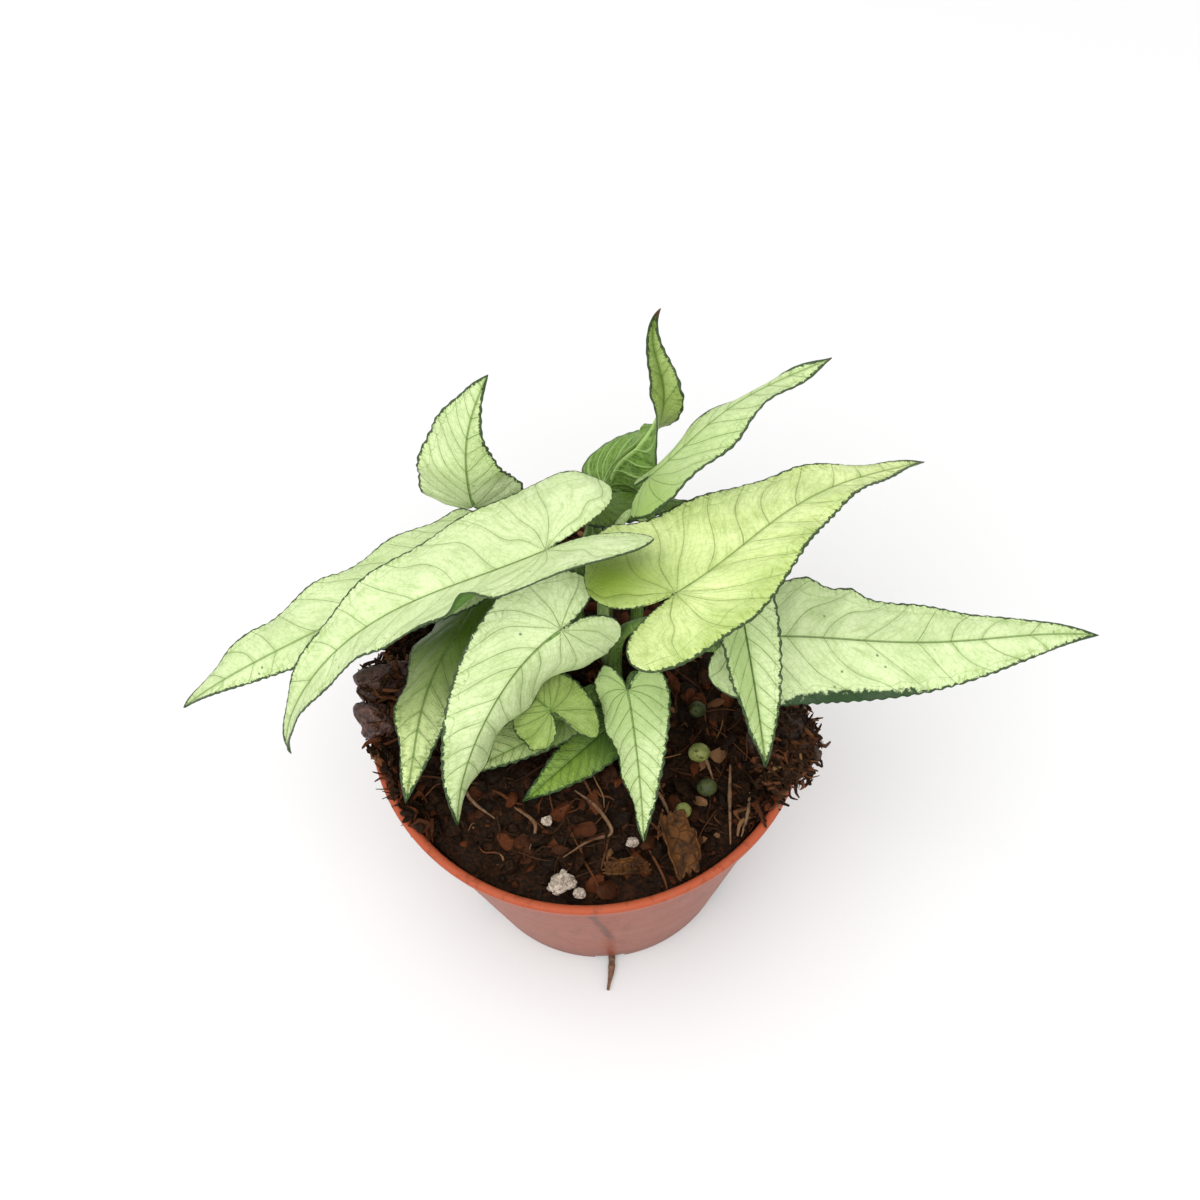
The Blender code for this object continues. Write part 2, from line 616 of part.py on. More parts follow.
def petiole_route(leaf):
    """Places and radii of the petiole, from its end in the soil to under the midrib."""
    x, y = leaf.foot
    ground = soil_level(x, y)
    along, _, up = rib_frame(leaf, leaf.left, 0.0)
    start = Vector((x, y, ground + min(3.0, 0.3 * (leaf.joint[2] - ground))))
    end = Vector(leaf.joint) - up * 0.8
    lean_in = start + Vector((0, 0, leaf.rise))
    lean_out = end - (up * 0.8 + along * 0.6) * leaf.arrive
    route = [Vector((x, y, ground - PETIOLE_DEPTH)), Vector((x, y, ground))]
    radii = [PETIOLE_FOOT_RADIUS, PETIOLE_FOOT_RADIUS]
    for index in range(PETIOLE_STEPS + 1):
        t = index / PETIOLE_STEPS
        route.append(start * (1 - t) ** 3 + lean_in * 3 * t * (1 - t) ** 2
                     + lean_out * 3 * t ** 2 * (1 - t) + end * t ** 3)
        radii.append(PETIOLE_FOOT_RADIUS + (PETIOLE_TOP_RADIUS - PETIOLE_FOOT_RADIUS) * t ** 0.7)
    for share, radius in ((0.06, 0.75), (0.13, 0.6)):
        p = share * leaf.length
        _, _, up = rib_frame(leaf, leaf.left, p)
        route.append(rib_point(leaf, leaf.left, p) - up * 0.7)
        radii.append(radius)
    return route, radii


def build_leaf(leaf, collection, cutters):
    """Make a leaf: its blade with its petiole fused under the joint."""
    blade = build_blade(leaf, collection)
    route, radii = petiole_route(leaf)
    stalk = spline_tube(leaf.name + "_petiole", route, radii, cutters)
    hide_cutter(stalk)
    fuse = blade.modifiers.new("petiole", "BOOLEAN")
    fuse.object = stalk
    fuse.operation = "UNION"
    fuse.solver = "MANIFOLD"
    return blade


def build_shoot(collection):
    """Make the new shoot: a thin stalk that arches over to a rolled tip."""
    x, y = SHOOT_FOOT
    ground = soil_level(x, y)
    points = [(x, y, ground - PETIOLE_DEPTH), (x, y, ground + 3)] + SHOOT_ROUTE
    route = smooth_route(points, 22)
    radii = [1.3 - 0.8 * (index / 22) ** 2 for index in range(23)]
    return spline_tube("new_shoot", route, radii, collection, "shoot")


# Loose pieces


def build_clump(name, finish, blobs, collection, cutters):
    """Fuse rough blobs into one solid."""
    parts = []
    for index, (centre, radii) in enumerate(blobs):
        bm = bmesh.new()
        bmesh.ops.create_icosphere(bm, subdivisions=2, radius=1.0)
        for vert in bm.verts:
            rough = 1.0 + 0.16 * noise.noise(vert.co * 1.9 + Vector(centre))
            vert.co = (Vector(c * r for c, r in zip(vert.co, radii)) * rough + Vector(centre)) * MM
        parts.append(mesh_from_bmesh(name, bm))
        if index:
            extra = add_object(f"{name}_blob_{index + 1}", parts[-1], cutters)
            hide_cutter(extra)
            fuse = clump.modifiers.new(f"blob_{index + 1}", "BOOLEAN")
            fuse.object = extra
            fuse.operation = "UNION"
        else:
            clump = add_object(name, parts[0], collection, finish)
    return clump


def build_dry_leaf(name, collection):
    """Curl a thin sheet into a dry leaf piece with a ragged edge."""
    centre, length, width, curl, turn, lean = DRY_LEAVES[name]
    bm = bmesh.new()
    grid = bmesh.ops.create_grid(bm, x_segments=6, y_segments=7, size=0.5)
    radius = width / math.radians(curl)
    for vert in grid["verts"]:
        s, t = vert.co.x, vert.co.y
        ragged = 1.0 + 0.25 * noise.noise(Vector((s * 6, t * 6, length)))
        narrow = math.cos(t * 2.6) ** 0.5
        angle = math.radians(curl) * s * ragged * narrow
        vert.co = Vector((radius * math.sin(angle), length * t * ragged, radius * (1 - math.cos(angle)))) * MM
    bmesh.ops.triangulate(bm, faces=bm.faces)
    sheet = add_object(name, mesh_from_bmesh(name, bm), collection, "dry_leaf")
    solid = sheet.modifiers.new("thickness", "SOLIDIFY")
    solid.thickness = 0.6 * MM
    solid.offset = 0.0
    sheet.location = Vector(centre) * MM
    sheet.rotation_euler = (math.radians(lean), math.radians(lean / 2), math.radians(turn))
    bpy.context.view_layer.update()
    sheet.data.transform(sheet.matrix_world)
    sheet.matrix_world.identity()
    return sheet


def build_root(collection):
    """Lay the root from the soil, out of the front slot, along the surface."""
    route = smooth_route(ROOT_ROUTE, 18)
    radii = [ROOT_RADIUS * (0.45 + 0.55 * min(1.0, index / 5)) for index in range(19)]
    return spline_tube("root", route, radii, collection, "root")


def main():
    """Build every sub-part of the plant and its pot."""
    clear_scene()
    plant = make_collection(PLANT_COLLECTION)
    cutters = make_collection(CUTTER_COLLECTION)
    build_pot(plant, cutters)
    soil = build_soil(plant, cutters)
    for leaf in LEAVES:
        build_leaf(leaf, plant, cutters)
    build_shoot(plant)
    pieces = [build_clump(name, *spec, plant, cutters) for name, spec in CLUMPS.items()]
    pieces += [build_dry_leaf(name, plant) for name in DRY_LEAVES]
    cut_soil(soil, pieces, cutters)
    build_root(plant)


main()
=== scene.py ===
"""Arrowhead plant in its small terracotta-coloured plastic pot: the looks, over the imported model.

Sizes are in millimetres and angles in degrees until a mesh is written. Meshes are in metres in the frame
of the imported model: +Z up, the pot's foot centred on the origin, the front of the plant towards -Y.
"""

import logging
import math
import random
from dataclasses import dataclass
from enum import Enum
from typing import Sequence

import bpy
import numpy as np
from mathutils import Matrix, Vector, noise


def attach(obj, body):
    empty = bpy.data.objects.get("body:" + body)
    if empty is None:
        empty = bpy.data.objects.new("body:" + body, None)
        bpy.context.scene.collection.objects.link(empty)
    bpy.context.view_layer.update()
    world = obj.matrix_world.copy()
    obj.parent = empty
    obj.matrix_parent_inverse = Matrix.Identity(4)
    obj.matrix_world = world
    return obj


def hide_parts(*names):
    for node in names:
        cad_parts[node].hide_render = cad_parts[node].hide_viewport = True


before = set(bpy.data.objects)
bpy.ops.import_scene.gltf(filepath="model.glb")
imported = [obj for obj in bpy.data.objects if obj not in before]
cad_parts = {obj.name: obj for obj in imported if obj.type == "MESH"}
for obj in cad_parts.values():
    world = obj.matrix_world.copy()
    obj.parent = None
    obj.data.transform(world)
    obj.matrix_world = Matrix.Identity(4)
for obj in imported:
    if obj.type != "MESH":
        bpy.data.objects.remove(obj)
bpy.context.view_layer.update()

MM = 0.001
BODY = "root"

Colour = tuple[float, float, float]
Point = tuple[float, float, float]
Piece = bpy.types.Object
Socket = bpy.types.NodeSocket
Material = bpy.types.Material
Signal = Socket | float

logging.basicConfig(level=logging.INFO, format="%(message)s")
log = logging.getLogger("arrowhead_plant")


# Sizes of the pot and its soil, which the leaves need too

POT_FOOT_RADIUS = 31.0
POT_TOP_RADIUS = 44.2
POT_HEIGHT = 72.0
POT_WALL = 0.9
SOIL_EDGE = 67.5
SOIL_CROWN = 5.5
SOIL_LUMP = 1.5
SOIL_LUMP_SCALE = 0.16
WALL_GAP = 0.25
# Banks of soil against the wall: middle and spread in degrees from +X, height in mm.
SOIL_BANKS = ((90.0, 55.0, 3.4), (180.0, 28.0, 2.8), (-20.0, 22.0, 2.6))
BANK_FROM = 28.0
BANK_REACH = 13.0
FULL_TURN = 2 * math.pi
ANY_TURN = 6.28


# Small tools


def deselect_all() -> None:
    """Leave edit mode and select nothing."""
    if bpy.context.object and bpy.context.object.mode != "OBJECT":
        bpy.ops.object.mode_set(mode="OBJECT")
    bpy.ops.object.select_all(action="DESELECT")


def select_only(*pieces: Piece) -> None:
    """Select these pieces alone and make the first one active.

    Args:
        pieces: The pieces to select.
    """
    deselect_all()
    for piece in pieces:
        piece.select_set(True)
    bpy.context.view_layer.objects.active = pieces[0]


def rename(piece: Piece, name: str) -> Piece:
    """Give a piece and its mesh their name."""
    piece.name = piece.data.name = name
    return piece


def settle(piece: Piece) -> Piece:
    """Move a piece's place, turn and scale into its mesh.

    Args:
        piece: The piece.

    Returns:
        The same piece.
    """
    select_only(piece)
    bpy.ops.object.transform_apply(location=True, rotation=True, scale=True)
    return piece


def join(pieces: Sequence[Piece]) -> Piece:
    """Join pieces into the first one.

    Args:
        pieces: The pieces; the first one keeps its name.

    Returns:
        The joined piece.
    """
    select_only(*pieces)
    if len(pieces) > 1:
        bpy.ops.object.join()
    return pieces[0]


def apply_modifier(piece: Piece, kind: str, **settings: object) -> None:
    """Add a modifier, set it and apply it.

    Args:
        piece: The piece that gets the modifier.
        kind: Blender's name of the modifier type.
        settings: Values of the modifier's properties.
    """
    select_only(piece)
    modifier = piece.modifiers.new(kind.lower(), kind)
    for key, value in settings.items():
        setattr(modifier, key, value)
    bpy.ops.object.modifier_apply(modifier=modifier.name)


def merge_doubles(piece: Piece, distance: float = 0.01, recalculate: bool = False) -> None:
    """Merge points closer than a distance.

    Args:
        piece: The mesh to clean.
        distance: Largest distance to merge, in mm.
        recalculate: Whether to turn all faces outwards afterwards.
    """
    select_only(piece)
    bpy.ops.object.mode_set(mode="EDIT")
    bpy.ops.mesh.select_all(action="SELECT")
    bpy.ops.mesh.remove_doubles(threshold=distance * MM)
    if recalculate:
        bpy.ops.mesh.normals_make_consistent(inside=False)
    bpy.ops.object.mode_set(mode="OBJECT")


def shade_smooth(piece: Piece, angle: float = 180.0) -> None:
    """Smooth a piece, with sharp edges above an angle.

    Args:
        piece: The piece.
        angle: Edges sharper than this stay sharp, in degrees.
    """
    select_only(piece)
    if angle >= 180.0:
        bpy.ops.object.shade_smooth()
    else:
        bpy.ops.object.shade_smooth_by_angle(angle=math.radians(angle))


def read_rows(source: bpy.types.bpy_prop_collection, key: str, kind: type = np.float64) -> np.ndarray:
    """Read three numbers from each item of a Blender collection.

    Args:
        source: The collection.
        key: Name of the property.
        kind: Type of the numbers.

    Returns:
        One row an item.
    """
    values = np.empty(len(source) * 3, dtype=kind)
    source.foreach_get(key, values)
    return values.reshape(-1, 3)


def points_of(piece: Piece) -> np.ndarray:
    """Return a mesh's points in mm, one row each."""
    return read_rows(piece.data.vertices, "co") / MM


def set_points(piece: Piece, places: np.ndarray) -> None:
    """Write a mesh's points from rows in mm."""
    piece.data.vertices.foreach_set("co", (places * MM).ravel())
    piece.data.update()


def set_attribute(piece: Piece, name: str, values: np.ndarray) -> None:
    """Write a point attribute of three numbers a row."""
    attribute = piece.data.attributes.new(name, "FLOAT_VECTOR", "POINT")
    attribute.data.foreach_set("vector", np.ascontiguousarray(values, dtype=np.float32).ravel())


def attribute_rows(piece: Piece, name: str) -> np.ndarray:
    """Return a point attribute's three numbers, one row each."""
    return read_rows(piece.data.attributes[name].data, "vector", np.float32)


def rough(places: np.ndarray, scale: float, shift: float = 0.0, octaves: int = 3) -> np.ndarray:
    """Fractal noise at each place.

    Args:
        places: Places in mm, one row each.
        scale: Bumps per mm.
        shift: Moves the pattern.
        octaves: Number of finer layers.

    Returns:
        One value a row, about -1 to 1.
    """
    move = Vector((shift, shift * 1.7, -shift))
    return np.array([noise.fractal(Vector(place) * scale + move, 1.0, 2.0, octaves)
                     for place in places.tolist()])


def smoothstep(values: np.ndarray, low: float, high: float) -> np.ndarray:
    """Ease from 0 at low to 1 at high."""
    t = np.clip((values - low) / (high - low), 0.0, 1.0)
    return t * t * (3.0 - 2.0 * t)


def displace(piece: Piece, amount: np.ndarray) -> None:
    """Move each point along its normal by an amount in mm."""
    set_points(piece, points_of(piece) + read_rows(piece.data.vertex_normals, "vector") * amount[:, None])


def smooth_route(points: Sequence[Point], count: int) -> list[Vector]:
    """Return count + 1 places on a smooth curve through the given points.

    Args:
        points: Places that the curve goes through.
        count: Number of steps along it.

    Returns:
        The places, in mm.
    """
    places = [Vector(point) for point in points]
    ends = [2 * places[0] - places[1]] + places + [2 * places[-1] - places[-2]]
    route = []
    for index in range(count + 1):
        share = index / count * (len(places) - 1)
        span = min(int(share), len(places) - 2)
        t = share - span
        a, b, c, d = ends[span:span + 4]
        route.append(0.5 * (2 * b + (c - a) * t + (2 * a - 5 * b + 4 * c - d) * t ** 2
                            + (3 * b - a - 3 * c + d) * t ** 3))
    return route


def tube(name: str, route: Sequence[Vector], radii: Sequence[float], sides: int = 3) -> Piece:
    """Make a closed tapered tube along a route.

    Args:
        name: Name of the piece.
        route: Places of its middle line, in mm.
        radii: Radius at each place, in mm.
        sides: Bevel resolution; the tube has twice as many sides plus four.

    Returns:
        The mesh object.
    """
    deselect_all()
    bpy.ops.curve.primitive_nurbs_path_add(radius=1.0, enter_editmode=True)
    bpy.ops.curve.select_all(action="SELECT")
    bpy.ops.curve.spline_type_set(type="POLY")
    bpy.ops.object.mode_set(mode="OBJECT")
    piece = bpy.context.object
    spline = piece.data.splines[0]
    spline.use_endpoint_u = False
    spline.points.add(max(0, len(route) - len(spline.points)))
    rows = list(zip(route, radii))
    for index, point in enumerate(spline.points):
        place, radius = rows[min(index, len(rows) - 1)]
        point.co = (*(Vector(place) * MM), 1.0)
        point.radius = radius
    piece.data.dimensions = "3D"
    piece.data.bevel_depth = MM
    piece.data.bevel_resolution = sides
    piece.data.use_fill_caps = True
    bpy.ops.object.convert(target="MESH")
    piece = bpy.context.object
    piece.data.materials.clear()
    merge_doubles(piece, 0.004, recalculate=True)
    shade_smooth(piece, 60.0)
    return rename(piece, name)


def lathe(name: str, profile: Sequence[tuple[float, float]], segments: int) -> Piece:
    """Turn a profile about Z: a circle that is extruded and scaled from point to point.

    Args:
        name: Name of the piece.
        profile: (radius, height) points in mm; both ends are closed with a pole.
        segments: Sides of the circle.

    Returns:
        The closed mesh object.
    """
    deselect_all()
    radius, height = profile[0]
    bpy.ops.mesh.primitive_circle_add(vertices=segments, radius=radius * MM, fill_type="NOTHING",
                                      location=(0, 0, height * MM), enter_editmode=True)
    bpy.ops.mesh.select_all(action="SELECT")
    bpy.ops.mesh.extrude_region_move()
    bpy.ops.mesh.merge(type="CENTER")
    piece = bpy.context.object
    piece.update_from_editmode()
    bpy.ops.mesh.select_all(action="DESELECT")
    bpy.ops.object.mode_set(mode="OBJECT")
    for index, vert in enumerate(piece.data.vertices):
        vert.select = vert.co.xy.length > radius * MM * 0.5
    bpy.ops.object.mode_set(mode="EDIT")
    for (r0, z0), (r1, z1) in zip(profile, profile[1:]):
        bpy.ops.mesh.extrude_region_move(TRANSFORM_OT_translate={"value": (0, 0, (z1 - z0) * MM)})
        bpy.ops.transform.resize(value=(r1 / r0, r1 / r0, 1.0), center_override=(0, 0, 0))
    bpy.ops.mesh.extrude_region_move()
    bpy.ops.mesh.merge(type="CENTER")
    bpy.ops.mesh.select_all(action="SELECT")
    bpy.ops.mesh.normals_make_consistent(inside=False)
    bpy.ops.object.mode_set(mode="OBJECT")
    settle(piece)
    return rename(piece, name)


def report(piece: Piece, slot: str, *nodes: str) -> None:
    """Attach a finished piece to the body, hide the CAD nodes that it replaces, and log it.

    Args:
        piece: The finished piece.
        slot: Name of a material slot; not used.
        nodes: CAD nodes that it replaces.
    """
    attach(piece, BODY)
    if nodes:
        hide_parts(*nodes)
    piece.data.calc_loop_triangles()
    log.info("piece %s: %d triangles", piece.name, len(piece.data.loop_triangles))


# Materials


class ShaderGraph:
    """A material's node tree, built one node at a time, with patterns in mm."""

    def __init__(self, name: str, roughness: float = 0.5, specular: float = 0.5) -> None:
        """Start a Principled material.

        Args:
            name: Name of the material.
            roughness: Even roughness, where no pattern is linked later.
            specular: Specular level.
        """
        self.material = bpy.data.materials.new(name)
        self.material.use_nodes = True
        self.tree = self.material.node_tree
        self.shader = self.tree.nodes["Principled BSDF"]
        self.shader.inputs["Roughness"].default_value = roughness
        self.shader.inputs["Specular IOR Level"].default_value = specular
        coordinates = self.tree.nodes.new("ShaderNodeTexCoord")
        self.place = self.vector_math("SCALE", coordinates.outputs["Object"], 1.0 / MM)

    def feed(self, socket: Socket, value: object) -> None:
        """Link a signal to a socket, or set its value.

        Args:
            socket: The socket that gets it.
            value: A signal, a number, a vector or a colour.
        """
        if isinstance(value, Socket):
            self.tree.links.new(value, socket)
        elif isinstance(value, (tuple, list)) and len(value) == 3 and socket.type == "RGBA":
            socket.default_value = (*value, 1.0)
        else:
            socket.default_value = value

    def add(self, kind: str, inputs: dict[int | str, object], output: int | str = 0,
            **settings: object) -> Socket:
        """Add a node, set it and feed it.

        Args:
            kind: Blender's name of the node type, after ShaderNode.
            inputs: Signals and values by the number or name of their socket.
            output: Number or name of the output to return.
            settings: Values of the node's properties.

        Returns:
            The output.
        """
        node = self.tree.nodes.new("ShaderNode" + kind)
        for key, value in settings.items():
            setattr(node, key, value)
        for key, value in inputs.items():
            self.feed(node.inputs[key], value)
        return node.outputs[output]

    def vector_math(self, operation: str, a: object, b: object) -> Socket:
        """Return a vector made from two others, or from one and a number when the operation is SCALE."""
        return self.add("VectorMath", {0: a, "Scale" if operation == "SCALE" else 1: b}, operation=operation)

    def math(self, operation: str, a: Signal, b: Signal = 0.0, clamp: bool = False) -> Socket:
        """Return the result of one Math node, kept from 0 to 1 with clamp."""
        return self.add("Math", {0: a, 1: b}, operation=operation, use_clamp=clamp)

    def times(self, a: Signal, b: Signal) -> Socket:
        """Return the product of two signals."""
        return self.math("MULTIPLY", a, b)

    def plus(self, a: Signal, b: Signal) -> Socket:
        """Return the sum of two signals."""
        return self.math("ADD", a, b)

    def minus(self, a: Signal, b: Signal) -> Socket:
        """Return the difference of two signals."""
        return self.math("SUBTRACT", a, b)

    def mix(self, share: Signal, a: object, b: object) -> Socket:
        """Return a colour between a and b."""
        return self.add("Mix", {0: share, 6: a, 7: b}, 2, data_type="RGBA")

    def paint(self, colour: object, over: object, mask: Signal, most: Signal | None = None) -> Socket:
        """Cover a colour with another one where the mask is 1."""
        cover = mask if most is None else self.times(mask, most)
        return self.mix(cover, colour, over)

    def stretched(self, x: float, y: float, z: float) -> Socket:
        """Return the place scaled by a factor on each axis, for patterns with a grain."""
        return self.vector_math("MULTIPLY", self.place, (x, y, z))

    def band(self, value: Signal, low: float, high: float, start: float = 0.0, end: float = 1.0) -> Socket:
        """Ease from start at low to end at high."""
        inputs = dict(enumerate((value, low, high, start, end)))
        return self.add("MapRange", inputs, interpolation_type="SMOOTHSTEP")

    def noise(self, scale: float, detail: float = 3.0, roughness: float = 0.5, where: object = None,
              distortion: float = 0.0) -> Socket:
        """Return noise from 0 to 1, its scale in bumps a mm."""
        return self.add("TexNoise", {"Vector": where or self.place, "Scale": scale, "Detail": detail,
                                     "Roughness": roughness, "Distortion": distortion}, "Fac")

    def cells(self, scale: float, feature: str = "F1", where: object = None) -> Socket:
        """Return the distance of a Voronoi pattern, its scale in cells a mm."""
        inputs = {"Vector": where or self.place, "Scale": scale}
        return self.add("TexVoronoi", inputs, "Distance", feature=feature)

    def attribute(self, name: str) -> list[Socket]:
        """Return the three numbers of a point attribute."""
        return self.split(self.add("Attribute", {}, "Vector", attribute_name=name))

    def split(self, vector: object) -> list[Socket]:
        """Return a vector's three numbers."""
        return list(self.add("SeparateXYZ", {0: vector}).node.outputs)

    def combine(self, x: Signal, y: Signal, z: Signal = 0.0) -> Socket:
        """Return a vector of three numbers."""
        return self.add("CombineXYZ", {0: x, 1: y, 2: z})

    def bump(self, height: Signal, depth: float, under: Socket | None = None) -> Socket:
        """Return a normal roughened by a height from 0 to 1, depth mm deep, over another normal if any."""
        below = {} if under is None else {"Normal": under}
        return self.add("Bump", {"Strength": 1.0, "Distance": depth * MM, "Height": height, **below})

    def finish(self, colour: object, roughness: Signal | None = None, normal: Socket | None = None) -> Material:
        """Link the shader's colour, roughness and normal, and return the material.

        Args:
            colour: Base colour.
            roughness: Roughness, where it varies.
            normal: Normal, where there is one.

        Returns:
            The material.
        """
        self.feed(self.shader.inputs["Base Color"], colour)
        if roughness is not None:
            self.feed(self.shader.inputs["Roughness"], roughness)
        if normal is not None:
            self.feed(self.shader.inputs["Normal"], normal)
        return self.material


@dataclass(frozen=True)
class LeafFinish:
    """Upper face of a blade: pale flesh, veins, a fine net, wrinkles, a dark margin and patches of painted shade.
    """

    name: str
    slot: str
    blade: Colour
    deep: Colour
    vein: Colour = (0.12, 0.21, 0.035)
    margin: Colour = (0.012, 0.035, 0.005)
    stain: Colour = (0.012, 0.04, 0.006)
    brown: Colour = (0.06, 0.03, 0.012)
    margin_width: float = 0.36
    streaks: float = 0.42
    streak_stretch: tuple[float, float] = (5.0, 2.2)
    net_cells: float = 0.62
    net_strength: float = 0.14
    lateral_width: float = 0.07
    minor_width: float = 0.06
    rib_strength: float = 0.72
    speck_cells: float = 0.28
    vein_depth: float = 0.16
    grain_depth: float = 0.05
    gloss: tuple[float, float] = (0.38, 0.56)
    specular: float = 0.3

    def material(self) -> Material:
        """Build the material from the blade's own point attributes.

        Returns:
            The material.
        """
        g = ShaderGraph(self.name, specular=self.specular)
        _, _, u = g.attribute("plan")
        index, spacing, edge = g.attribute("vein")
        loop, rib, s = g.attribute("lines")
        painted_shade, stain, brown = g.attribute("tint")
        along_veins = g.combine(g.times(index, self.streak_stretch[0]), g.times(u, self.streak_stretch[1]), s)
        streak = g.noise(1.6, 4.0, 0.62, along_veins)
        fine_streak = g.noise(5.0, 3.0, 0.6, along_veins)
        cloud = g.noise(0.11, 3.0)
        colour = g.mix(g.band(cloud, 0.35, 0.7), self.blade, self.mid_tone(0.28))
        colour = g.paint(colour, self.deep, g.band(streak, 0.42, 0.72), self.streaks)
        colour = g.paint(colour, self.deep, g.band(fine_streak, 0.5, 0.8), self.streaks * 0.6)
        net_edge = g.cells(self.net_cells, "DISTANCE_TO_EDGE", g.vector_math("ADD", g.place, self.wobble(g)))
        net = g.band(net_edge, 0.0, 0.09, 1.0, 0.0)
        colour = g.paint(colour, self.vein, net, self.net_strength)
        # Painted shade: the deep tone where the tint attribute marks the blade as lying in shade.
        colour = g.paint(colour, self.deep, g.math("MULTIPLY", painted_shade, 1.0, clamp=True))
        lateral = self.line(g, index, spacing, self.lateral_width, 0.0)
        minor = self.line(g, index, spacing, self.minor_width, 0.5)
        near_rib = g.band(rib, 0.0, 10.0, 0.66, 0.30)
        broken = g.band(g.noise(0.25, 3.0), 0.32, 0.6, 0.35, 1.0)
        colour = g.paint(colour, self.deep, self.line(g, index, spacing, 0.6, 0.0), 0.16)
        colour = g.paint(colour, self.vein, g.times(lateral, near_rib), broken)
        colour = g.paint(colour, self.vein, g.times(minor, 0.2), broken)
        collective = g.times(g.band(g.math("ABSOLUTE", loop), 0.03, 0.16, 0.42, 0.0), broken)
        colour = g.paint(colour, self.vein, collective)
        rib_line = g.band(rib, 0.08, 0.28, 1.0, 0.0)
        colour = g.paint(colour, self.deep, g.band(rib, 0.1, 1.2, 0.25, 0.0))
        colour = g.paint(colour, self.vein, rib_line, self.rib_strength)
        colour = self.add_specks(g, colour)
        colour = self.add_margin(g, colour, edge)
        blotch = g.plus(stain, g.times(g.minus(g.noise(0.9, 4.0, 0.6), 0.5), 0.9))
        blotch = g.times(g.band(blotch, 0.42, 0.62), g.band(stain, 0.02, 0.15))
        colour = g.paint(colour, self.stain, blotch)
        colour = g.paint(colour, self.brown, g.band(brown, 0.3, 0.75))
        height = g.plus(g.times(lateral, -0.75), g.times(net, -0.22))
        height = g.plus(height, g.times(rib_line, -0.8))
        height = g.plus(height, g.times(streak, 0.6))
        normal = g.bump(height, self.vein_depth)
        normal = g.bump(g.noise(2.6, 4.0, 0.6), self.grain_depth, normal)
        return g.finish(colour, g.band(g.noise(0.8, 3.0), 0.2, 0.8, *self.gloss), normal)

    def mid_tone(self, share: float) -> Colour:
        """Colour a share of the way from the blade's to its deep one."""
        return tuple(a + (b - a) * share for a, b in zip(self.blade, self.deep))

    @staticmethod
    def wobble(g: ShaderGraph) -> Socket:
        """Shift that keeps the net's cells from being straight."""
        return g.combine(g.noise(0.9, 2.0), g.noise(1.1, 2.0), g.noise(1.0, 2.0))

    @staticmethod
    def line(g: ShaderGraph, index: Signal, spacing: Signal, width: float, shift: float) -> Socket:
        """Thin line along the veins: whole indices, or halves with a shift."""
        away = g.times(g.math("PINGPONG", g.plus(index, shift), 0.5), spacing)
        return g.band(away, width * 0.4, width * 1.5, 1.0, 0.0)

    def add_specks(self, g: ShaderGraph, colour: Socket) -> Socket:
        """Scatter small dark specks.

        Args:
            g: The graph of the material.
            colour: The colour so far.

        Returns:
            The new colour.
        """
        spot = g.band(g.cells(self.speck_cells), 0.05, 0.11, 1.0, 0.0)
        some = g.band(g.noise(0.12, 1.0), 0.52, 0.6)
        return g.paint(colour, self.margin, g.times(spot, some), 0.7)

    def add_margin(self, g: ShaderGraph, colour: Socket, edge: Signal) -> Socket:
        """Paint the dark jagged margin and the fine dashes that run in from it.

        Args:
            g: The graph of the material.
            colour: The colour so far.
            edge: Distance from the margin, in mm.

        Returns:
            The new colour.
        """
        s = g.attribute("lines")[2]
        dashes = g.noise(1.0, 2.0, 0.6, g.combine(g.times(s, 95.0), g.times(edge, 0.45)))
        near = g.band(edge, 0.2, 4.5, 0.75, 0.0)
        colour = g.paint(colour, self.deep, g.band(dashes, 0.48, 0.68), near)
        ragged = g.times(g.minus(g.noise(1.3, 3.0, 0.7), 0.40), self.margin_width * 5.0)
        away = g.minus(edge, ragged)
        line = g.band(away, self.margin_width * 0.5, self.margin_width * 1.1, 0.95, 0.0)
        return g.paint(colour, self.margin, line)


@dataclass(frozen=True)
class UndersideFinish:
    """Lower face of a blade: even green with raised paler veins."""

    name: str
    blade: Colour = (0.15, 0.29, 0.06)
    deep: Colour = (0.08, 0.19, 0.03)
    vein: Colour = (0.34, 0.50, 0.18)
    margin: Colour = (0.03, 0.08, 0.012)
    net_cells: float = 0.7
    lateral_width: float = 0.2
    vein_depth: float = 0.14
    gloss: tuple[float, float] = (0.45, 0.62)
    specular: float = 0.18

    def material(self) -> Material:
        """Build the material from the blade's own point attributes.

        Returns:
            The material.
        """
        g = ShaderGraph(self.name, specular=self.specular)
        _, _, u = g.attribute("plan")
        index, spacing, edge = g.attribute("vein")
        _, rib, s = g.attribute("lines")
        streak = g.noise(1.4, 4.0, 0.6, g.combine(g.times(index, 5.0), g.times(u, 2.2), s))
        colour = g.mix(g.band(streak, 0.35, 0.7), self.blade, self.deep)
        net = g.band(g.cells(self.net_cells, "DISTANCE_TO_EDGE"), 0.0, 0.1, 1.0, 0.0)
        colour = g.paint(colour, self.vein, net, 0.25)
        lateral = LeafFinish.line(g, index, spacing, self.lateral_width, 0.0)
        colour = g.paint(colour, self.vein, lateral, 0.6)
        rib_line = g.band(rib, 0.3, 0.9, 1.0, 0.0)
        colour = g.paint(colour, self.vein, rib_line, 0.85)
        ragged = g.minus(edge, g.times(g.noise(0.6, 3.0), 1.1))
        colour = g.paint(colour, self.margin, g.band(ragged, -0.4, 0.4, 0.8, 0.0))
        height = g.plus(g.times(lateral, 0.8), g.times(net, 0.3))
        normal = g.bump(g.plus(height, g.times(streak, 0.4)), self.vein_depth)
        normal = g.bump(g.noise(3.0, 3.0), 0.04, normal)
        return g.finish(colour, g.band(g.noise(0.9), 0.2, 0.8, *self.gloss), normal)


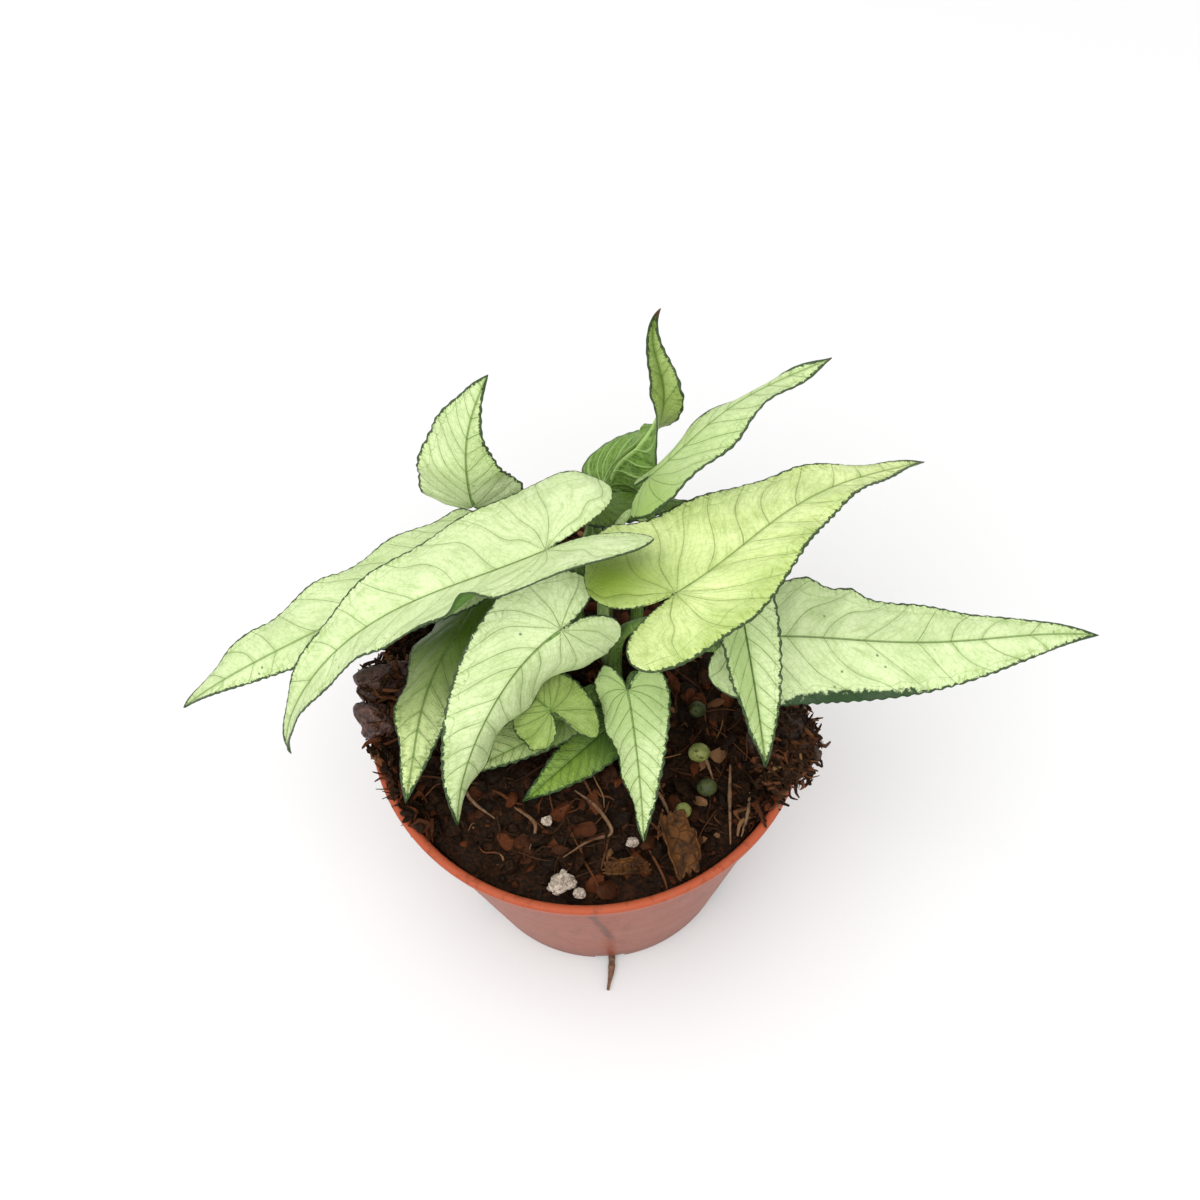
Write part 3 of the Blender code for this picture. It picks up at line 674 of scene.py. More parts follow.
@dataclass(frozen=True)
class StalkFinish:
    """Petiole or shoot: green flesh with fine lines along it and darker patches near the soil."""

    name: str
    flesh: Colour = (0.16, 0.26, 0.06)
    deep: Colour = (0.06, 0.12, 0.02)
    base: Colour = (0.05, 0.04, 0.012)
    base_height: tuple[float, float] = (76.0, 84.0)
    line_depth: float = 0.14
    gloss: tuple[float, float] = (0.4, 0.58)
    specular: float = 0.25

    def material(self) -> Material:
        """Build the material; the lines are stretched along Z.

        Returns:
            The material.
        """
        g = ShaderGraph(self.name, specular=self.specular)
        grain = g.noise(1.0, 3.0, 0.6, g.stretched(2.4, 2.4, 0.22))
        colour = g.mix(g.band(grain, 0.35, 0.72), self.flesh, self.deep)
        colour = g.paint(colour, self.deep, g.band(g.noise(0.35, 3.0), 0.5, 0.72), 0.6)
        height = g.plus(g.split(g.place)[2], g.times(g.noise(0.5, 3.0), 8.0))
        colour = g.paint(colour, self.base, g.band(height, *self.base_height, 0.8, 0.0))
        normal = g.bump(g.plus(grain, g.times(g.noise(2.0, 3.0), 0.4)), self.line_depth)
        return g.finish(colour, g.band(grain, 0.2, 0.8, *self.gloss), normal)


@dataclass(frozen=True)
class PotFinish:
    """Thin moulded plastic: warm terracotta, painted light on the lip, faint mould lines, dust and soil stains."""

    name: str = "moulded_terracotta_plastic"
    wall: Colour = (0.235, 0.052, 0.024)
    # Brighter colour of the lip: painted light where its top faces the light.
    rim: Colour = (0.34, 0.070, 0.030)
    streak: Colour = (0.10, 0.024, 0.010)
    dust: Colour = (0.26, 0.10, 0.06)
    soil: Colour = (0.06, 0.032, 0.02)
    lit_rim_height: tuple[float, float] = (66.0, 70.5)
    run_place: float = 4.0
    run_lean: float = -0.10
    run_foot: tuple[float, float] = (24.0, 36.0)
    run_head: tuple[float, float] = (62.0, 67.0)
    run_strength: float = 0.85
    worn_strength: float = 0.35
    gloss: tuple[float, float] = (0.34, 0.46)
    specular: float = 0.10

    def material(self) -> Material:
        """Build the material; the foot gets splashes of soil, the front wall one dark streak and the lip painted
        light.

        Returns:
            The material.
        """
        g = ShaderGraph(self.name, specular=self.specular)
        x, y, z = g.split(g.place)
        cloud = g.noise(0.045, 3.0)
        colour = g.mix(g.band(cloud, 0.3, 0.7, 0.0, 0.3), self.wall, self.dust)
        # Painted light: the lip is brighter than the wall above its lit height.
        colour = g.paint(colour, self.rim, g.band(z, *self.lit_rim_height, 0.0, 0.85))
        smear = g.noise(0.35, 4.0, 0.6, g.stretched(1.0, 1.0, 0.25))
        colour = g.paint(colour, self.dust, g.band(smear, 0.5, 0.78), 0.3)
        low = g.band(g.plus(z, g.times(g.noise(0.16, 3.0), 14.0)), 8.0, 20.0, 0.28, 0.0)
        colour = g.paint(colour, self.soil, low)
        # One dark streak runs down the front wall.
        drift = g.minus(x, g.plus(g.times(z, self.run_lean), self.run_place))
        drift = g.plus(drift, g.times(g.minus(g.noise(0.2, 2.0), 0.5), 2.0))
        run = g.band(g.math("ABSOLUTE", drift), 0.35, 1.3, 1.0, 0.0)
        run = g.times(run, g.band(y, -34.0, -30.0, 1.0, 0.0))
        run = g.times(run, g.band(z, *self.run_foot))
        run = g.times(run, g.band(z, *self.run_head, 1.0, 0.0))
        colour = g.paint(colour, self.streak, run, self.run_strength)
        worn = g.band(g.noise(0.5, 4.0, 0.7, g.stretched(1.0, 1.0, 0.12)), 0.54, 0.62)
        colour = g.paint(colour, self.streak, worn, self.worn_strength)
        crumbs = g.band(g.cells(0.55), 0.05, 0.14, 1.0, 0.0)
        crumbs = g.times(crumbs, g.band(g.noise(0.09, 2.0), 0.55, 0.66))
        colour = g.paint(colour, self.soil, crumbs, 0.55)
        scratches = g.noise(1.4, 3.0, 0.7, g.stretched(0.5, 1.0, 3.0))
        normal = g.bump(g.noise(0.07, 2.0), 0.5)
        normal = g.bump(scratches, 0.025, normal)
        gloss = g.plus(g.band(scratches, 0.3, 0.8, *self.gloss), g.times(crumbs, 0.3))
        return g.finish(colour, gloss, normal)


@dataclass(frozen=True)
class SoilFinish:
    """Damp bark compost: near black with brown and reddish bits, each bit its own tone."""

    name: str
    dark: Colour = (0.006, 0.0035, 0.002)
    brown: Colour = (0.033, 0.012, 0.004)
    red: Colour = (0.11, 0.030, 0.010)
    pale: Colour = (0.20, 0.11, 0.05)
    toned: bool = True
    grain_depth: float = 0.35
    gloss: tuple[float, float] = (0.28, 0.8)
    specular: float = 0.07

    def material(self) -> Material:
        """Build the material; a toned piece varies by its tone attribute.

        Returns:
            The material.
        """
        g = ShaderGraph(self.name, specular=self.specular)
        tone = g.attribute("tone")[0] if self.toned else g.noise(0.3, 2.0)
        grain = g.noise(1.3, 5.0, 0.65)
        colour = g.mix(g.band(grain, 0.35, 0.75), self.dark, self.brown)
        colour = g.paint(colour, self.red, g.band(tone, 0.55, 0.95), 0.75)
        colour = g.paint(colour, self.pale, g.band(tone, 0.93, 0.99), 0.7)
        colour = g.paint(colour, self.dark, g.band(tone, 0.1, 0.4, 1.0, 0.0), 0.7)
        fibres = g.noise(1.0, 4.0, 0.7, g.stretched(0.6, 2.4, 4.0))
        colour = g.paint(colour, self.pale, g.band(fibres, 0.58, 0.8), 0.35)
        normal = g.bump(g.plus(grain, g.times(fibres, 0.7)), self.grain_depth)
        wet = g.band(g.noise(0.25, 2.0), 0.4, 0.65, *self.gloss)
        return g.finish(colour, wet, normal)


@dataclass(frozen=True)
class BarkFinish:
    """Wrinkled damp bark or matted coir."""

    name: str
    dark: Colour = (0.018, 0.007, 0.005)
    body: Colour = (0.085, 0.034, 0.024)
    light: Colour = (0.21, 0.11, 0.08)
    roughness: tuple[float, float] = (0.22, 0.55)
    ridge_depth: float = 0.7
    strand_depth: float = 0.25

    def material(self) -> Material:
        """Build the material from ridged noise.

        Returns:
            The material.
        """
        g = ShaderGraph(self.name, specular=0.5)
        ridges = g.noise(0.45, 5.0, 0.62, distortion=1.2)
        strands = g.noise(1.2, 4.0, 0.7, g.stretched(0.8, 2.2, 1.0))
        colour = g.mix(g.band(ridges, 0.32, 0.55), self.dark, self.body)
        colour = g.paint(colour, self.light, g.band(ridges, 0.55, 0.78, 0.0, 0.8))
        colour = g.paint(colour, self.dark, g.band(strands, 0.56, 0.75), 0.4)
        normal = g.bump(strands, self.strand_depth, g.bump(ridges, self.ridge_depth))
        return g.finish(colour, g.band(strands, 0.3, 0.7, *self.roughness), normal)


@dataclass(frozen=True)
class GrainFinish:
    """Perlite or a fertiliser bead: one colour with darker pits and stains."""

    name: str
    body: Colour
    light: Colour
    pit: Colour
    pits: float = 1.1
    roughness: float = 0.75
    depth: float = 0.15

    def material(self) -> Material:
        """Build the material.

        Returns:
            The material.
        """
        g = ShaderGraph(self.name, roughness=self.roughness, specular=0.2)
        grain = g.noise(self.pits, 4.0, 0.6)
        holes = g.band(g.cells(self.pits * 1.6), 0.12, 0.34, 1.0, 0.0)
        colour = g.mix(g.band(grain, 0.3, 0.7), self.body, self.light)
        colour = g.paint(colour, self.pit, holes, 0.6)
        colour = g.paint(colour, self.pit, g.band(g.noise(self.pits * 0.35, 3.0), 0.55, 0.75, 0.0, 0.6))
        normal = g.bump(g.minus(grain, holes), self.depth)
        return g.finish(colour, g.band(grain, 0.3, 0.7, self.roughness - 0.1, self.roughness + 0.1), normal)


@dataclass(frozen=True)
class DryLeafFinish:
    """Papery dead leaf: brown, with darker veins and paler wrinkle crests."""

    name: str = "dry_leaf_paper"
    body: Colour = (0.10, 0.037, 0.007)
    dark: Colour = (0.026, 0.010, 0.003)
    light: Colour = (0.27, 0.13, 0.035)
    wrinkle_depth: float = 0.4
    gloss: tuple[float, float] = (0.4, 0.7)

    def material(self) -> Material:
        """Build the material.

        Returns:
            The material.
        """
        g = ShaderGraph(self.name, specular=0.15)
        blotches = g.noise(0.35, 4.0, 0.6)
        lines = g.band(g.cells(0.5, "DISTANCE_TO_EDGE"), 0.0, 0.12, 1.0, 0.0)
        wrinkles = g.noise(0.8, 5.0, 0.7, g.stretched(2.2, 0.7, 1.0))
        colour = g.mix(g.band(blotches, 0.35, 0.65), self.body, self.dark)
        colour = g.paint(colour, self.light, g.band(wrinkles, 0.55, 0.8, 0.0, 0.7))
        colour = g.paint(colour, self.dark, lines, 0.5)
        normal = g.bump(g.plus(wrinkles, g.times(lines, -0.4)), self.wrinkle_depth)
        return g.finish(colour, g.band(wrinkles, 0.3, 0.7, *self.gloss), normal)


@dataclass(frozen=True)
class FloorFinish:
    """Plain pale studio floor."""

    name: str = "pale_floor"
    colour: Colour = (0.66, 0.66, 0.66)

    def material(self) -> Material:
        """Build the material."""
        g = ShaderGraph(self.name, roughness=0.9, specular=0.1)
        return g.finish(g.mix(g.noise(0.01, 2.0), self.colour, tuple(c * 0.99 for c in self.colour)))


class Finishes:
    """Materials made so far, one for each finish."""

    made: dict[str, Material] = {}

    @classmethod
    def get(cls, finish: object) -> Material:
        """Return a finish's material, built the first time.

        Args:
            finish: The finish.

        Returns:
            The material.
        """
        if finish.name not in cls.made:
            cls.made[finish.name] = finish.material()
        return cls.made[finish.name]


STALK = StalkFinish("green_petiole")
SHOOT_STALK = StalkFinish("young_petiole", flesh=(0.46, 0.58, 0.26), deep=(0.26, 0.40, 0.10))
PERLITE = GrainFinish("perlite_crumb", body=(0.22, 0.17, 0.13), light=(0.46, 0.39, 0.32),
                      pit=(0.05, 0.03, 0.02))
BEAD = GrainFinish("fertiliser_bead", body=(0.11, 0.13, 0.025), light=(0.21, 0.23, 0.07),
                   pit=(0.04, 0.035, 0.01), pits=0.5, roughness=0.5, depth=0.25)
DARK_BEAD = GrainFinish("dark_bead", body=(0.02, 0.028, 0.008), light=(0.06, 0.07, 0.02),
                        pit=(0.01, 0.008, 0.004), pits=0.5, roughness=0.5, depth=0.25)
BARK = BarkFinish("wrinkled_bark")
COIR = BarkFinish("matted_coir", dark=(0.010, 0.005, 0.003), body=(0.045, 0.019, 0.009),
                  light=(0.13, 0.065, 0.03), roughness=(0.5, 0.9))
STRAW = BarkFinish("dry_straw", dark=(0.05, 0.022, 0.009), body=(0.15, 0.075, 0.03), light=(0.30, 0.18, 0.08),
                   roughness=(0.5, 0.8))
ROOT_BARK = BarkFinish("root_bark", dark=(0.06, 0.028, 0.014), body=(0.17, 0.08, 0.04),
                       light=(0.30, 0.17, 0.09), roughness=(0.55, 0.8))


def dress(piece: Piece, *finishes: object) -> None:
    """Give a piece the materials of these finishes alone.

    Args:
        piece: The piece.
        finishes: The finishes, in the order of the piece's material slots.
    """
    piece.data.materials.clear()
    for finish in finishes:
        piece.data.materials.append(Finishes.get(finish))


# Leaves


class Tone(Enum):
    """Finish of a blade's upper face."""

    # Each deep tone darkens the streaks and is also the colour of painted shade; the shady blade's near-black deep
    # tone serves that painted shade.
    PALE = LeafFinish("pale_blade", "pale_leaf", (0.55, 0.65, 0.35), (0.23, 0.34, 0.09))
    LIME = LeafFinish("lime_blade", "lime_leaf", (0.62, 0.72, 0.32), (0.20, 0.29, 0.035))
    MID = LeafFinish("mid_blade", "mid_leaf", (0.28, 0.37, 0.10), (0.08, 0.14, 0.012))
    SHADY = LeafFinish("shady_blade", "mid_leaf", (0.58, 0.68, 0.30), (0.07, 0.13, 0.008))
    DARK = LeafFinish("dark_blade", "dark_leaf", (0.22, 0.34, 0.045), (0.02, 0.055, 0.003),
                      vein=(0.13, 0.24, 0.04))


class Under(Enum):
    """Finish of a blade's lower face."""

    GREEN = UndersideFinish("green_underside")
    # Darker copy of the green underside: painted shade for an underside lying in shadow.
    DEEP = UndersideFinish("shaded_underside", blade=(0.09, 0.20, 0.03), deep=(0.05, 0.13, 0.018),
                           vein=(0.20, 0.34, 0.09))
    BRIGHT = UndersideFinish("bright_underside", blade=(0.14, 0.25, 0.04), deep=(0.045, 0.10, 0.01),
                             vein=(0.32, 0.48, 0.15))


class TintKind(Enum):
    """Column of the tint attribute that a tint adds to."""

    # Painted shade where the blade lies in the shadow of other leaves.
    PAINTED_SHADE = 0
    STAIN = 1
    BROWN = 2


@dataclass(frozen=True)
class Tint:
    """A soft patch of tint on a blade: painted shade, a dark green stain or a dried brown patch.

    Shares run along the rib from 0 at the joint to 1 at the tip, and across from -1 at the right margin to 1
    at the left one.
    """

    kind: TintKind
    along: float
    across: float
    reach_along: float
    reach_across: float
    strength: float = 1.0


@dataclass(frozen=True)
class Half:
    """One half of a blade, seen from the joint towards the tip: sizes in mm, angles in degrees.

    The face leaves the rib at the fold and bends by the curl on its way to the margin. The lobe behind the joint
    hangs and splays. Waves ripple the margin, and each dent has a place on the outline, a spread and a height.
    """

    width: float
    lobe: float
    fold: float = -8.0
    curl: float = -15.0
    hang: float = 15.0
    splay: float = 0.1
    fullness: float = 0.6
    wave: float = 0.7
    waves: float = 4.0
    phase: float = 0.0
    dents: tuple[tuple[float, float, float], ...] = ()


# Layout of a blade: shares of its length or width, and degrees between the veins of a lobe.
SHOULDER = 0.08
RIB_STEPS = 16
VEIN_PITCH = 0.115
VEIN_SLOPE = 0.85
VEIN_BOW = 0.55
LOBE_VEIN_ANGLE = 30.0
LOOP_PLACE = 0.77
COLUMNS_PER_CELL = 1.15

# Relief of a blade: heights and widths in mm, scales in bumps a mm, and the teeth's in radians a mm.
TOOTH_HEIGHT = 0.16
TOOTH_SCALE = 2.9
NICK_HEIGHT = 0.12
NICK_SCALE = 0.8
RIB_GROOVE = 0.16
RIB_GROOVE_WIDTH = 0.55
LOOP_GROOVE = 0.05
LOOP_GROOVE_WIDTH = 0.6
UNEVENNESS = 0.22
UNEVENNESS_SCALE = 0.14
VEIN_RIDGE = 0.16
VEIN_RIDGE_WIDTH = 0.45
MARGIN_THICKNESS = 0.55

# Petiole, in mm: (share of the blade's length, radius) pairs are where it runs out under the midrib.
STALK_DEPTH = 8.0
STALK_RADIUS = 1.5
STALK_TAPER = 0.72
STALK_STEPS = 30
STALK_UNDER = 0.8
STALK_END = ((0.04, 0.72), (0.09, 0.55), (0.15, 0.34), (0.21, 0.15))


def pot_outer_radius(z: float) -> float:
    """Outer radius of the pot's wall at height z."""
    return POT_FOOT_RADIUS + (POT_TOP_RADIUS - POT_FOOT_RADIUS) * z / POT_HEIGHT


def soil_level(x: float, y: float) -> float:
    """Height of the smooth soil mound at a place."""
    share = math.hypot(x, y) / (pot_outer_radius(SOIL_EDGE) - POT_WALL)
    return SOIL_EDGE + SOIL_CROWN * max(0.0, 1.0 - share ** 2)


def direction(heading: np.ndarray, pitch: np.ndarray) -> np.ndarray:
    """Unit vectors with these headings from +X and pitches above the level."""
    h, p = np.radians(heading), np.radians(pitch)
    return np.stack([np.cos(p) * np.cos(h), np.cos(p) * np.sin(h), np.sin(p)], axis=-1)


@dataclass(frozen=True)
class Leaf:
    """A blade and the petiole that carries it.

    They meet at the joint, and the foot is the petiole's place in the soil. Heading and pitch give the midrib's
    direction at the joint. On its way to the tip the midrib droops and sweeps by so many degrees and sways to both
    sides, and the face, rolled about it at the joint, twists further over the turning stretch.
    """

    name: str
    node: str
    joint: Point
    heading: float
    pitch: float
    length: float
    left: Half
    right: Half
    foot: tuple[float, float]
    tone: Tone = Tone.PALE
    under: Under = Under.GREEN
    droop: float = 30.0
    late: float = 1.2
    sweep: float = 0.0
    sway: float = 0.0
    roll: float = 0.0
    twist: float = 0.0
    turning: tuple[float, float] = (0.0, 1.0)
    rise: float = 22.0
    arrive: float = 9.0
    fine: bool = True
    tints: tuple[Tint, ...] = ()
    cell: float = 0.5
    quilt: float = 0.26
    thickness: float = 0.42
    rib_thickness: float = 1.25

    def angles(self, half: Half, p: np.ndarray) -> tuple[np.ndarray, np.ndarray]:
        """Heading and pitch of the blade p mm from the joint, negative in the lobe.

        Args:
            half: The half of the blade.
            p: Distances along the rib, in mm.

        Returns:
            Heading and pitch at each distance, in degrees.
        """
        s = np.clip(p / self.length, 0.0, 1.0)
        heading = self.heading + self.sweep * s + self.sway * np.sin(2 * np.pi * s)
        pitch = np.where(p < 0, self.pitch - half.hang * p / half.lobe,
                         self.pitch - self.droop * s ** self.late)
        return heading, pitch

    def rib(self, half: Half, p: np.ndarray) -> np.ndarray:
        """Places on the midrib's line p mm from the joint.

        Args:
            half: The half of the blade.
            p: Distances along the rib, in mm.

        Returns:
            The places, in mm.
        """
        places = np.tile(np.array(self.joint, dtype=float), p.shape + (1,))
        step = p / RIB_STEPS
        for index in range(RIB_STEPS):
            places += direction(*self.angles(half, step * (index + 0.5))) * step[..., None]
        return places

    def axes(self, half: Half, p: np.ndarray) -> tuple[np.ndarray, np.ndarray, np.ndarray]:
        """Directions along the blade, to its left and up from its face, p mm from the joint.

        Args:
            half: The half of the blade.
            p: Distances along the rib, in mm.

        Returns:
            The three unit vectors at each distance.
        """
        heading, pitch = self.angles(half, p)
        along = direction(heading, pitch)
        level = direction(heading + 90, np.zeros_like(pitch))
        up = np.cross(along, level)
        first, last = self.turning
        turned = np.clip((p / self.length - first) / (last - first), 0.0, 1.0)
        turn = np.radians(self.roll + self.twist * turned)[..., None]
        return along, level * np.cos(turn) + up * np.sin(turn), up * np.cos(turn) - level * np.sin(turn)

    def rows(self) -> tuple[int, int]:
        """Rows of the blade and of the lobe in a half's grid.

        Returns:
            The two numbers of rows.
        """
        blade, lobe = (16, 5) if self.fine else (9, 4)
        share = max(1, round(self.length / self.cell / blade))
        return blade * share, lobe * share

    def outline(self, half: Half, v: np.ndarray) -> tuple[np.ndarray, ...]:
        """Margin and inner line of a half at v, from 0 at the tip to 1 at the lobe's end.

        Args:
            half: The half of the blade.
            v: Shares along the outline.

        Returns:
            Margin's p and q, inner line's p and q, in mm along and across the rib.
        """
        blade, lobe = self.rows()
        join = blade / (blade + lobe)
        shoulder = SHOULDER * self.length
        x = 1.0 - np.minimum(v / join, 1.0)
        turn = np.clip((v - join) / (1 - join), 0.0, 1.0) * np.pi / 2
        end = half.width * 0.5
        back = shoulder - (shoulder + half.lobe) * np.sin(turn)
        out = end + (half.width - end) * np.cos(turn) + half.splay * np.maximum(-back, 0.0)
        inner = -half.lobe * np.sin(turn)
        notch = np.maximum(end * (1 - np.cos(turn)) - half.splay * inner, 0.0) + 0.4 * np.sin(turn)
        ahead = v <= join
        p_out = np.where(ahead, shoulder + (self.length - shoulder) * x, back)
        q_out = np.where(ahead, half.width * (1 - x) * (1 + half.fullness * x), out)
        p_in = np.where(ahead, self.length * x, inner)
        q_in = np.where(ahead, 0.0, notch)
        return p_out, q_out, p_in, q_in

    def veins(self, half: Half, p: np.ndarray, q: np.ndarray) -> tuple[np.ndarray, np.ndarray]:
        """Number of the vein at a place, whole on a vein, and the mm between veins there.

        Args:
            half: The half of the blade.
            p: Distances along the rib, in mm.
            q: Distances across it, in mm.

        Returns:
            The numbers and the distances.
        """
        bow = VEIN_BOW * q ** 2 / half.width
        lead = p - VEIN_SLOPE * q - bow
        pitch = VEIN_PITCH * self.length
        first = math.degrees(math.atan2(1.0, VEIN_SLOPE))
        angle = np.degrees(np.arctan2(q, p - bow))
        warp = 0.14 * np.sin(p * 0.23 + q * 0.17 + self.heading)
        warp = warp + 0.08 * np.sin(p * 0.61 - q * 0.4 + self.length)
        index = np.where(lead >= 0, lead / pitch, (first - angle) / LOBE_VEIN_ANGLE)
        ease = smoothstep(np.hypot(p, q), 3.0, 10.0)
        slope = VEIN_SLOPE + 2 * VEIN_BOW * q / half.width
        spacing = np.where(lead >= 0, pitch / np.sqrt(1 + slope ** 2),
                           np.hypot(p, q) * math.radians(LOBE_VEIN_ANGLE))
        return index + warp * ease, spacing

    def half_sheet(self, half: Half, side: float) -> Piece:
        """Make one half of the blade: a grid whose points are put on the half's surface.

        Args:
            half: The half of the blade.
            side: 1 for the left half and -1 for the right one.

        Returns:
            The open sheet with its attributes.
        """
        blade, lobe = self.rows()
        columns = max(6, round(half.width * COLUMNS_PER_CELL / self.cell))
        deselect_all()
        bpy.ops.mesh.primitive_grid_add(x_subdivisions=columns, y_subdivisions=blade + lobe, size=1.0)
        sheet = bpy.context.object
        grid = points_of(sheet) * MM
        u = grid[:, 0] + 0.5 if side > 0 else 0.5 - grid[:, 0]
        v = grid[:, 1] + 0.5
        u = np.round(u * columns) / columns
        v = np.round(v * (blade + lobe)) / (blade + lobe)
        p_out, q_out, p_in, q_in = self.outline(half, v)
        end = v >= 1.0
        p_out, q_out = np.where(end, p_in, p_out), np.where(end, q_in, q_out)
        p = p_in + (p_out - p_in) * u
        q = q_in + (q_out - q_in) * u
        across = np.hypot(p_out - p_in, q_out - q_in)
        index, spacing = self.veins(half, p, q)
        in_lobe = v > blade / (blade + lobe)
        edge = np.where(in_lobe, np.minimum(1 - u, u + 0.02), 1 - u) * across
        loop = (u - LOOP_PLACE - 0.03 * np.cos(2 * np.pi * index)) * across
        rib = np.where(in_lobe, np.hypot(p, q), q)
        places, lift = self.surface(half, side, p, q, u, v)
        relief = self.relief(half, p, q, edge, index, spacing, loop)
        nicks = rough(np.stack([p, q, p * 0], 1), NICK_SCALE, side, 2)
        teeth = TOOTH_HEIGHT * np.sin(p * TOOTH_SCALE + self.heading) + NICK_HEIGHT * nicks
        out = places + lift * relief[:, None]
        outward = self.outward(half, side, p, q)
        out += outward * (teeth * u ** 10 * np.sin(np.pi * v))[:, None]
        set_points(sheet, out)
        s = p / self.length
        set_attribute(sheet, "plan", np.stack([s, q * side, u], axis=1))
        set_attribute(sheet, "vein", np.stack([index, spacing, edge], axis=1))
        set_attribute(sheet, "lines", np.stack([loop, rib, s], axis=1))
        set_attribute(sheet, "tint", self.tint(s, u * side))
        return sheet

    def surface(self, half: Half, side: float, p: np.ndarray, q: np.ndarray, u: np.ndarray,
                v: np.ndarray) -> tuple[np.ndarray, np.ndarray]:
        """Places on the smooth curled half and the direction up from its face there.

        Args:
            half: The half of the blade.
            side: 1 for the left half and -1 for the right one.
            p: Distances along the rib, in mm.
            q: Distances across it, in mm.
            u: Shares from the rib to the margin.
            v: Shares along the outline.

        Returns:
            The places in mm and the unit vectors.
        """
        _, left, up = self.axes(half, p)
        bend = math.radians(half.curl or 0.1) / half.width
        start = math.radians(half.fold)
        end = start + bend * q
        reach = (np.sin(end) - math.sin(start)) / bend
        rise = (math.cos(start) - np.cos(end)) / bend
        ripple = half.wave * np.sin(2 * np.pi * (half.waves * v + half.phase))
        for place, spread, height in half.dents:
            ripple = ripple + height * np.exp(-((v - place) / spread) ** 2)
        ripple = ripple * u ** 2 * np.sqrt(np.clip(np.sin(np.pi * v), 0.0, 1.0))
        lift = up * np.cos(end)[:, None] - left * side * np.sin(end)[:, None]
        places = self.rib(half, p) + left * side * reach[:, None] + up * rise[:, None] + lift * ripple[:, None]
        return places, lift

    def outward(self, half: Half, side: float, p: np.ndarray, q: np.ndarray) -> np.ndarray:
        """Direction in the face away from the rib.

        Args:
            half: The half of the blade.
            side: 1 for the left half and -1 for the right one.
            p: Distances along the rib, in mm.
            q: Distances across it, in mm.

        Returns:
            The unit vectors.
        """
        _, left, up = self.axes(half, p)
        end = (math.radians(half.fold) + math.radians(half.curl or 0.1) / half.width * q)[:, None]
        return left * side * np.cos(end) + up * np.sin(end)

    def relief(self, half: Half, p: np.ndarray, q: np.ndarray, edge: np.ndarray, index: np.ndarray,
               spacing: np.ndarray, loop: np.ndarray) -> np.ndarray:
        """Height of the upper face over the smooth half: puffed between veins, sunk along them.

        Args:
            half: The half of the blade.
            p: Distances along the rib, in mm.
            q: Distances across it, in mm.
            edge: Distances from the margin, in mm.
            index: Numbers of the nearest veins.
            spacing: Distances between the veins, in mm.
            loop: Distances from the line of veins inside the margin, in mm.

        Returns:
            The heights, in mm.
        """
        puff = np.sin(np.pi * (index % 1.0)) ** 0.8
        room = smoothstep(q, 0.4, 4.0) * smoothstep(edge, 0.0, 3.5) * smoothstep(spacing, 0.5, 4.0)
        height = self.quilt * (puff - 0.4) * room
        height -= RIB_GROOVE * np.exp(-((q / RIB_GROOVE_WIDTH) ** 2)) * (p > 0)
        height -= LOOP_GROOVE * np.exp(-((loop / LOOP_GROOVE_WIDTH) ** 2)) * room
        uneven = rough(np.stack([p, q, np.full_like(p, half.width)], axis=1), UNEVENNESS_SCALE, self.heading, 3)
        return height + UNEVENNESS * uneven * smoothstep(q, 0.0, 5.0) + self.thickness / 2

    def tint(self, s: np.ndarray, across: np.ndarray) -> np.ndarray:
        """Painted shade, stain and brown of each point.

        Args:
            s: Shares along the rib.
            across: Shares across, from -1 to 1.

        Returns:
            Three values a point, from 0 to 1.
        """
        rows = np.zeros((len(s), 3))
        for tint in self.tints:
            away = ((s - tint.along) / tint.reach_along) ** 2
            away = away + ((across - tint.across) / tint.reach_across) ** 2
            rows[:, tint.kind.value] += tint.strength * np.exp(-away)
        return np.clip(rows, 0.0, 1.0)

    def build_blade(self) -> Piece:
        """Make the blade: two halves joined at the midrib and given a thickness, full under the rib.

        Returns:
            The closed blade.
        """
        blade = join([self.half_sheet(self.left, 1.0), self.half_sheet(self.right, -1.0)])
        merge_doubles(blade, 0.012)
        s, q, _ = attribute_rows(blade, "plan").T
        number, spacing, edge = attribute_rows(blade, "vein").T
        along = np.clip(s, 0.0, 1.0)
        swell = (self.rib_thickness - self.thickness) * (1 - along) ** 0.8
        full = self.thickness + swell * np.exp(-((q / (0.55 + 0.25 * (1 - along))) ** 2)) * (s > -0.02)
        away = np.abs((number + 0.5) % 1.0 - 0.5) * spacing
        ridge = VEIN_RIDGE * np.exp(-((away / VEIN_RIDGE_WIDTH) ** 2))
        full += ridge * smoothstep(edge, 0.5, 5.0) * smoothstep(np.abs(q), 0.0, 2.0)
        full *= MARGIN_THICKNESS + (1 - MARGIN_THICKNESS) * smoothstep(edge, 0.0, 1.2)
        self.set_thickness(blade, full)
        dress(blade, self.tone.value, self.under.value)
        apply_modifier(blade, "SOLIDIFY", thickness=self.rib_thickness * MM, offset=-1.0, vertex_group="full",
                       thickness_vertex_group=0.0, material_offset=1, use_rim=True)
        blade.vertex_groups.clear()
        shade_smooth(blade)
        return blade

    def set_thickness(self, blade: Piece, full: np.ndarray) -> None:
        """Write the blade's thickness as the weights of a vertex group.

        Args:
            blade: The open blade.
            full: Thickness at each point, in mm.
        """
        group = blade.vertex_groups.new(name="full")
        weights = np.clip(np.round(full / self.rib_thickness, 2), 0.05, 1.0)
        for weight in np.unique(weights):
            rows = np.nonzero(weights == weight)[0]
            group.add(rows.tolist(), float(weight), "REPLACE")

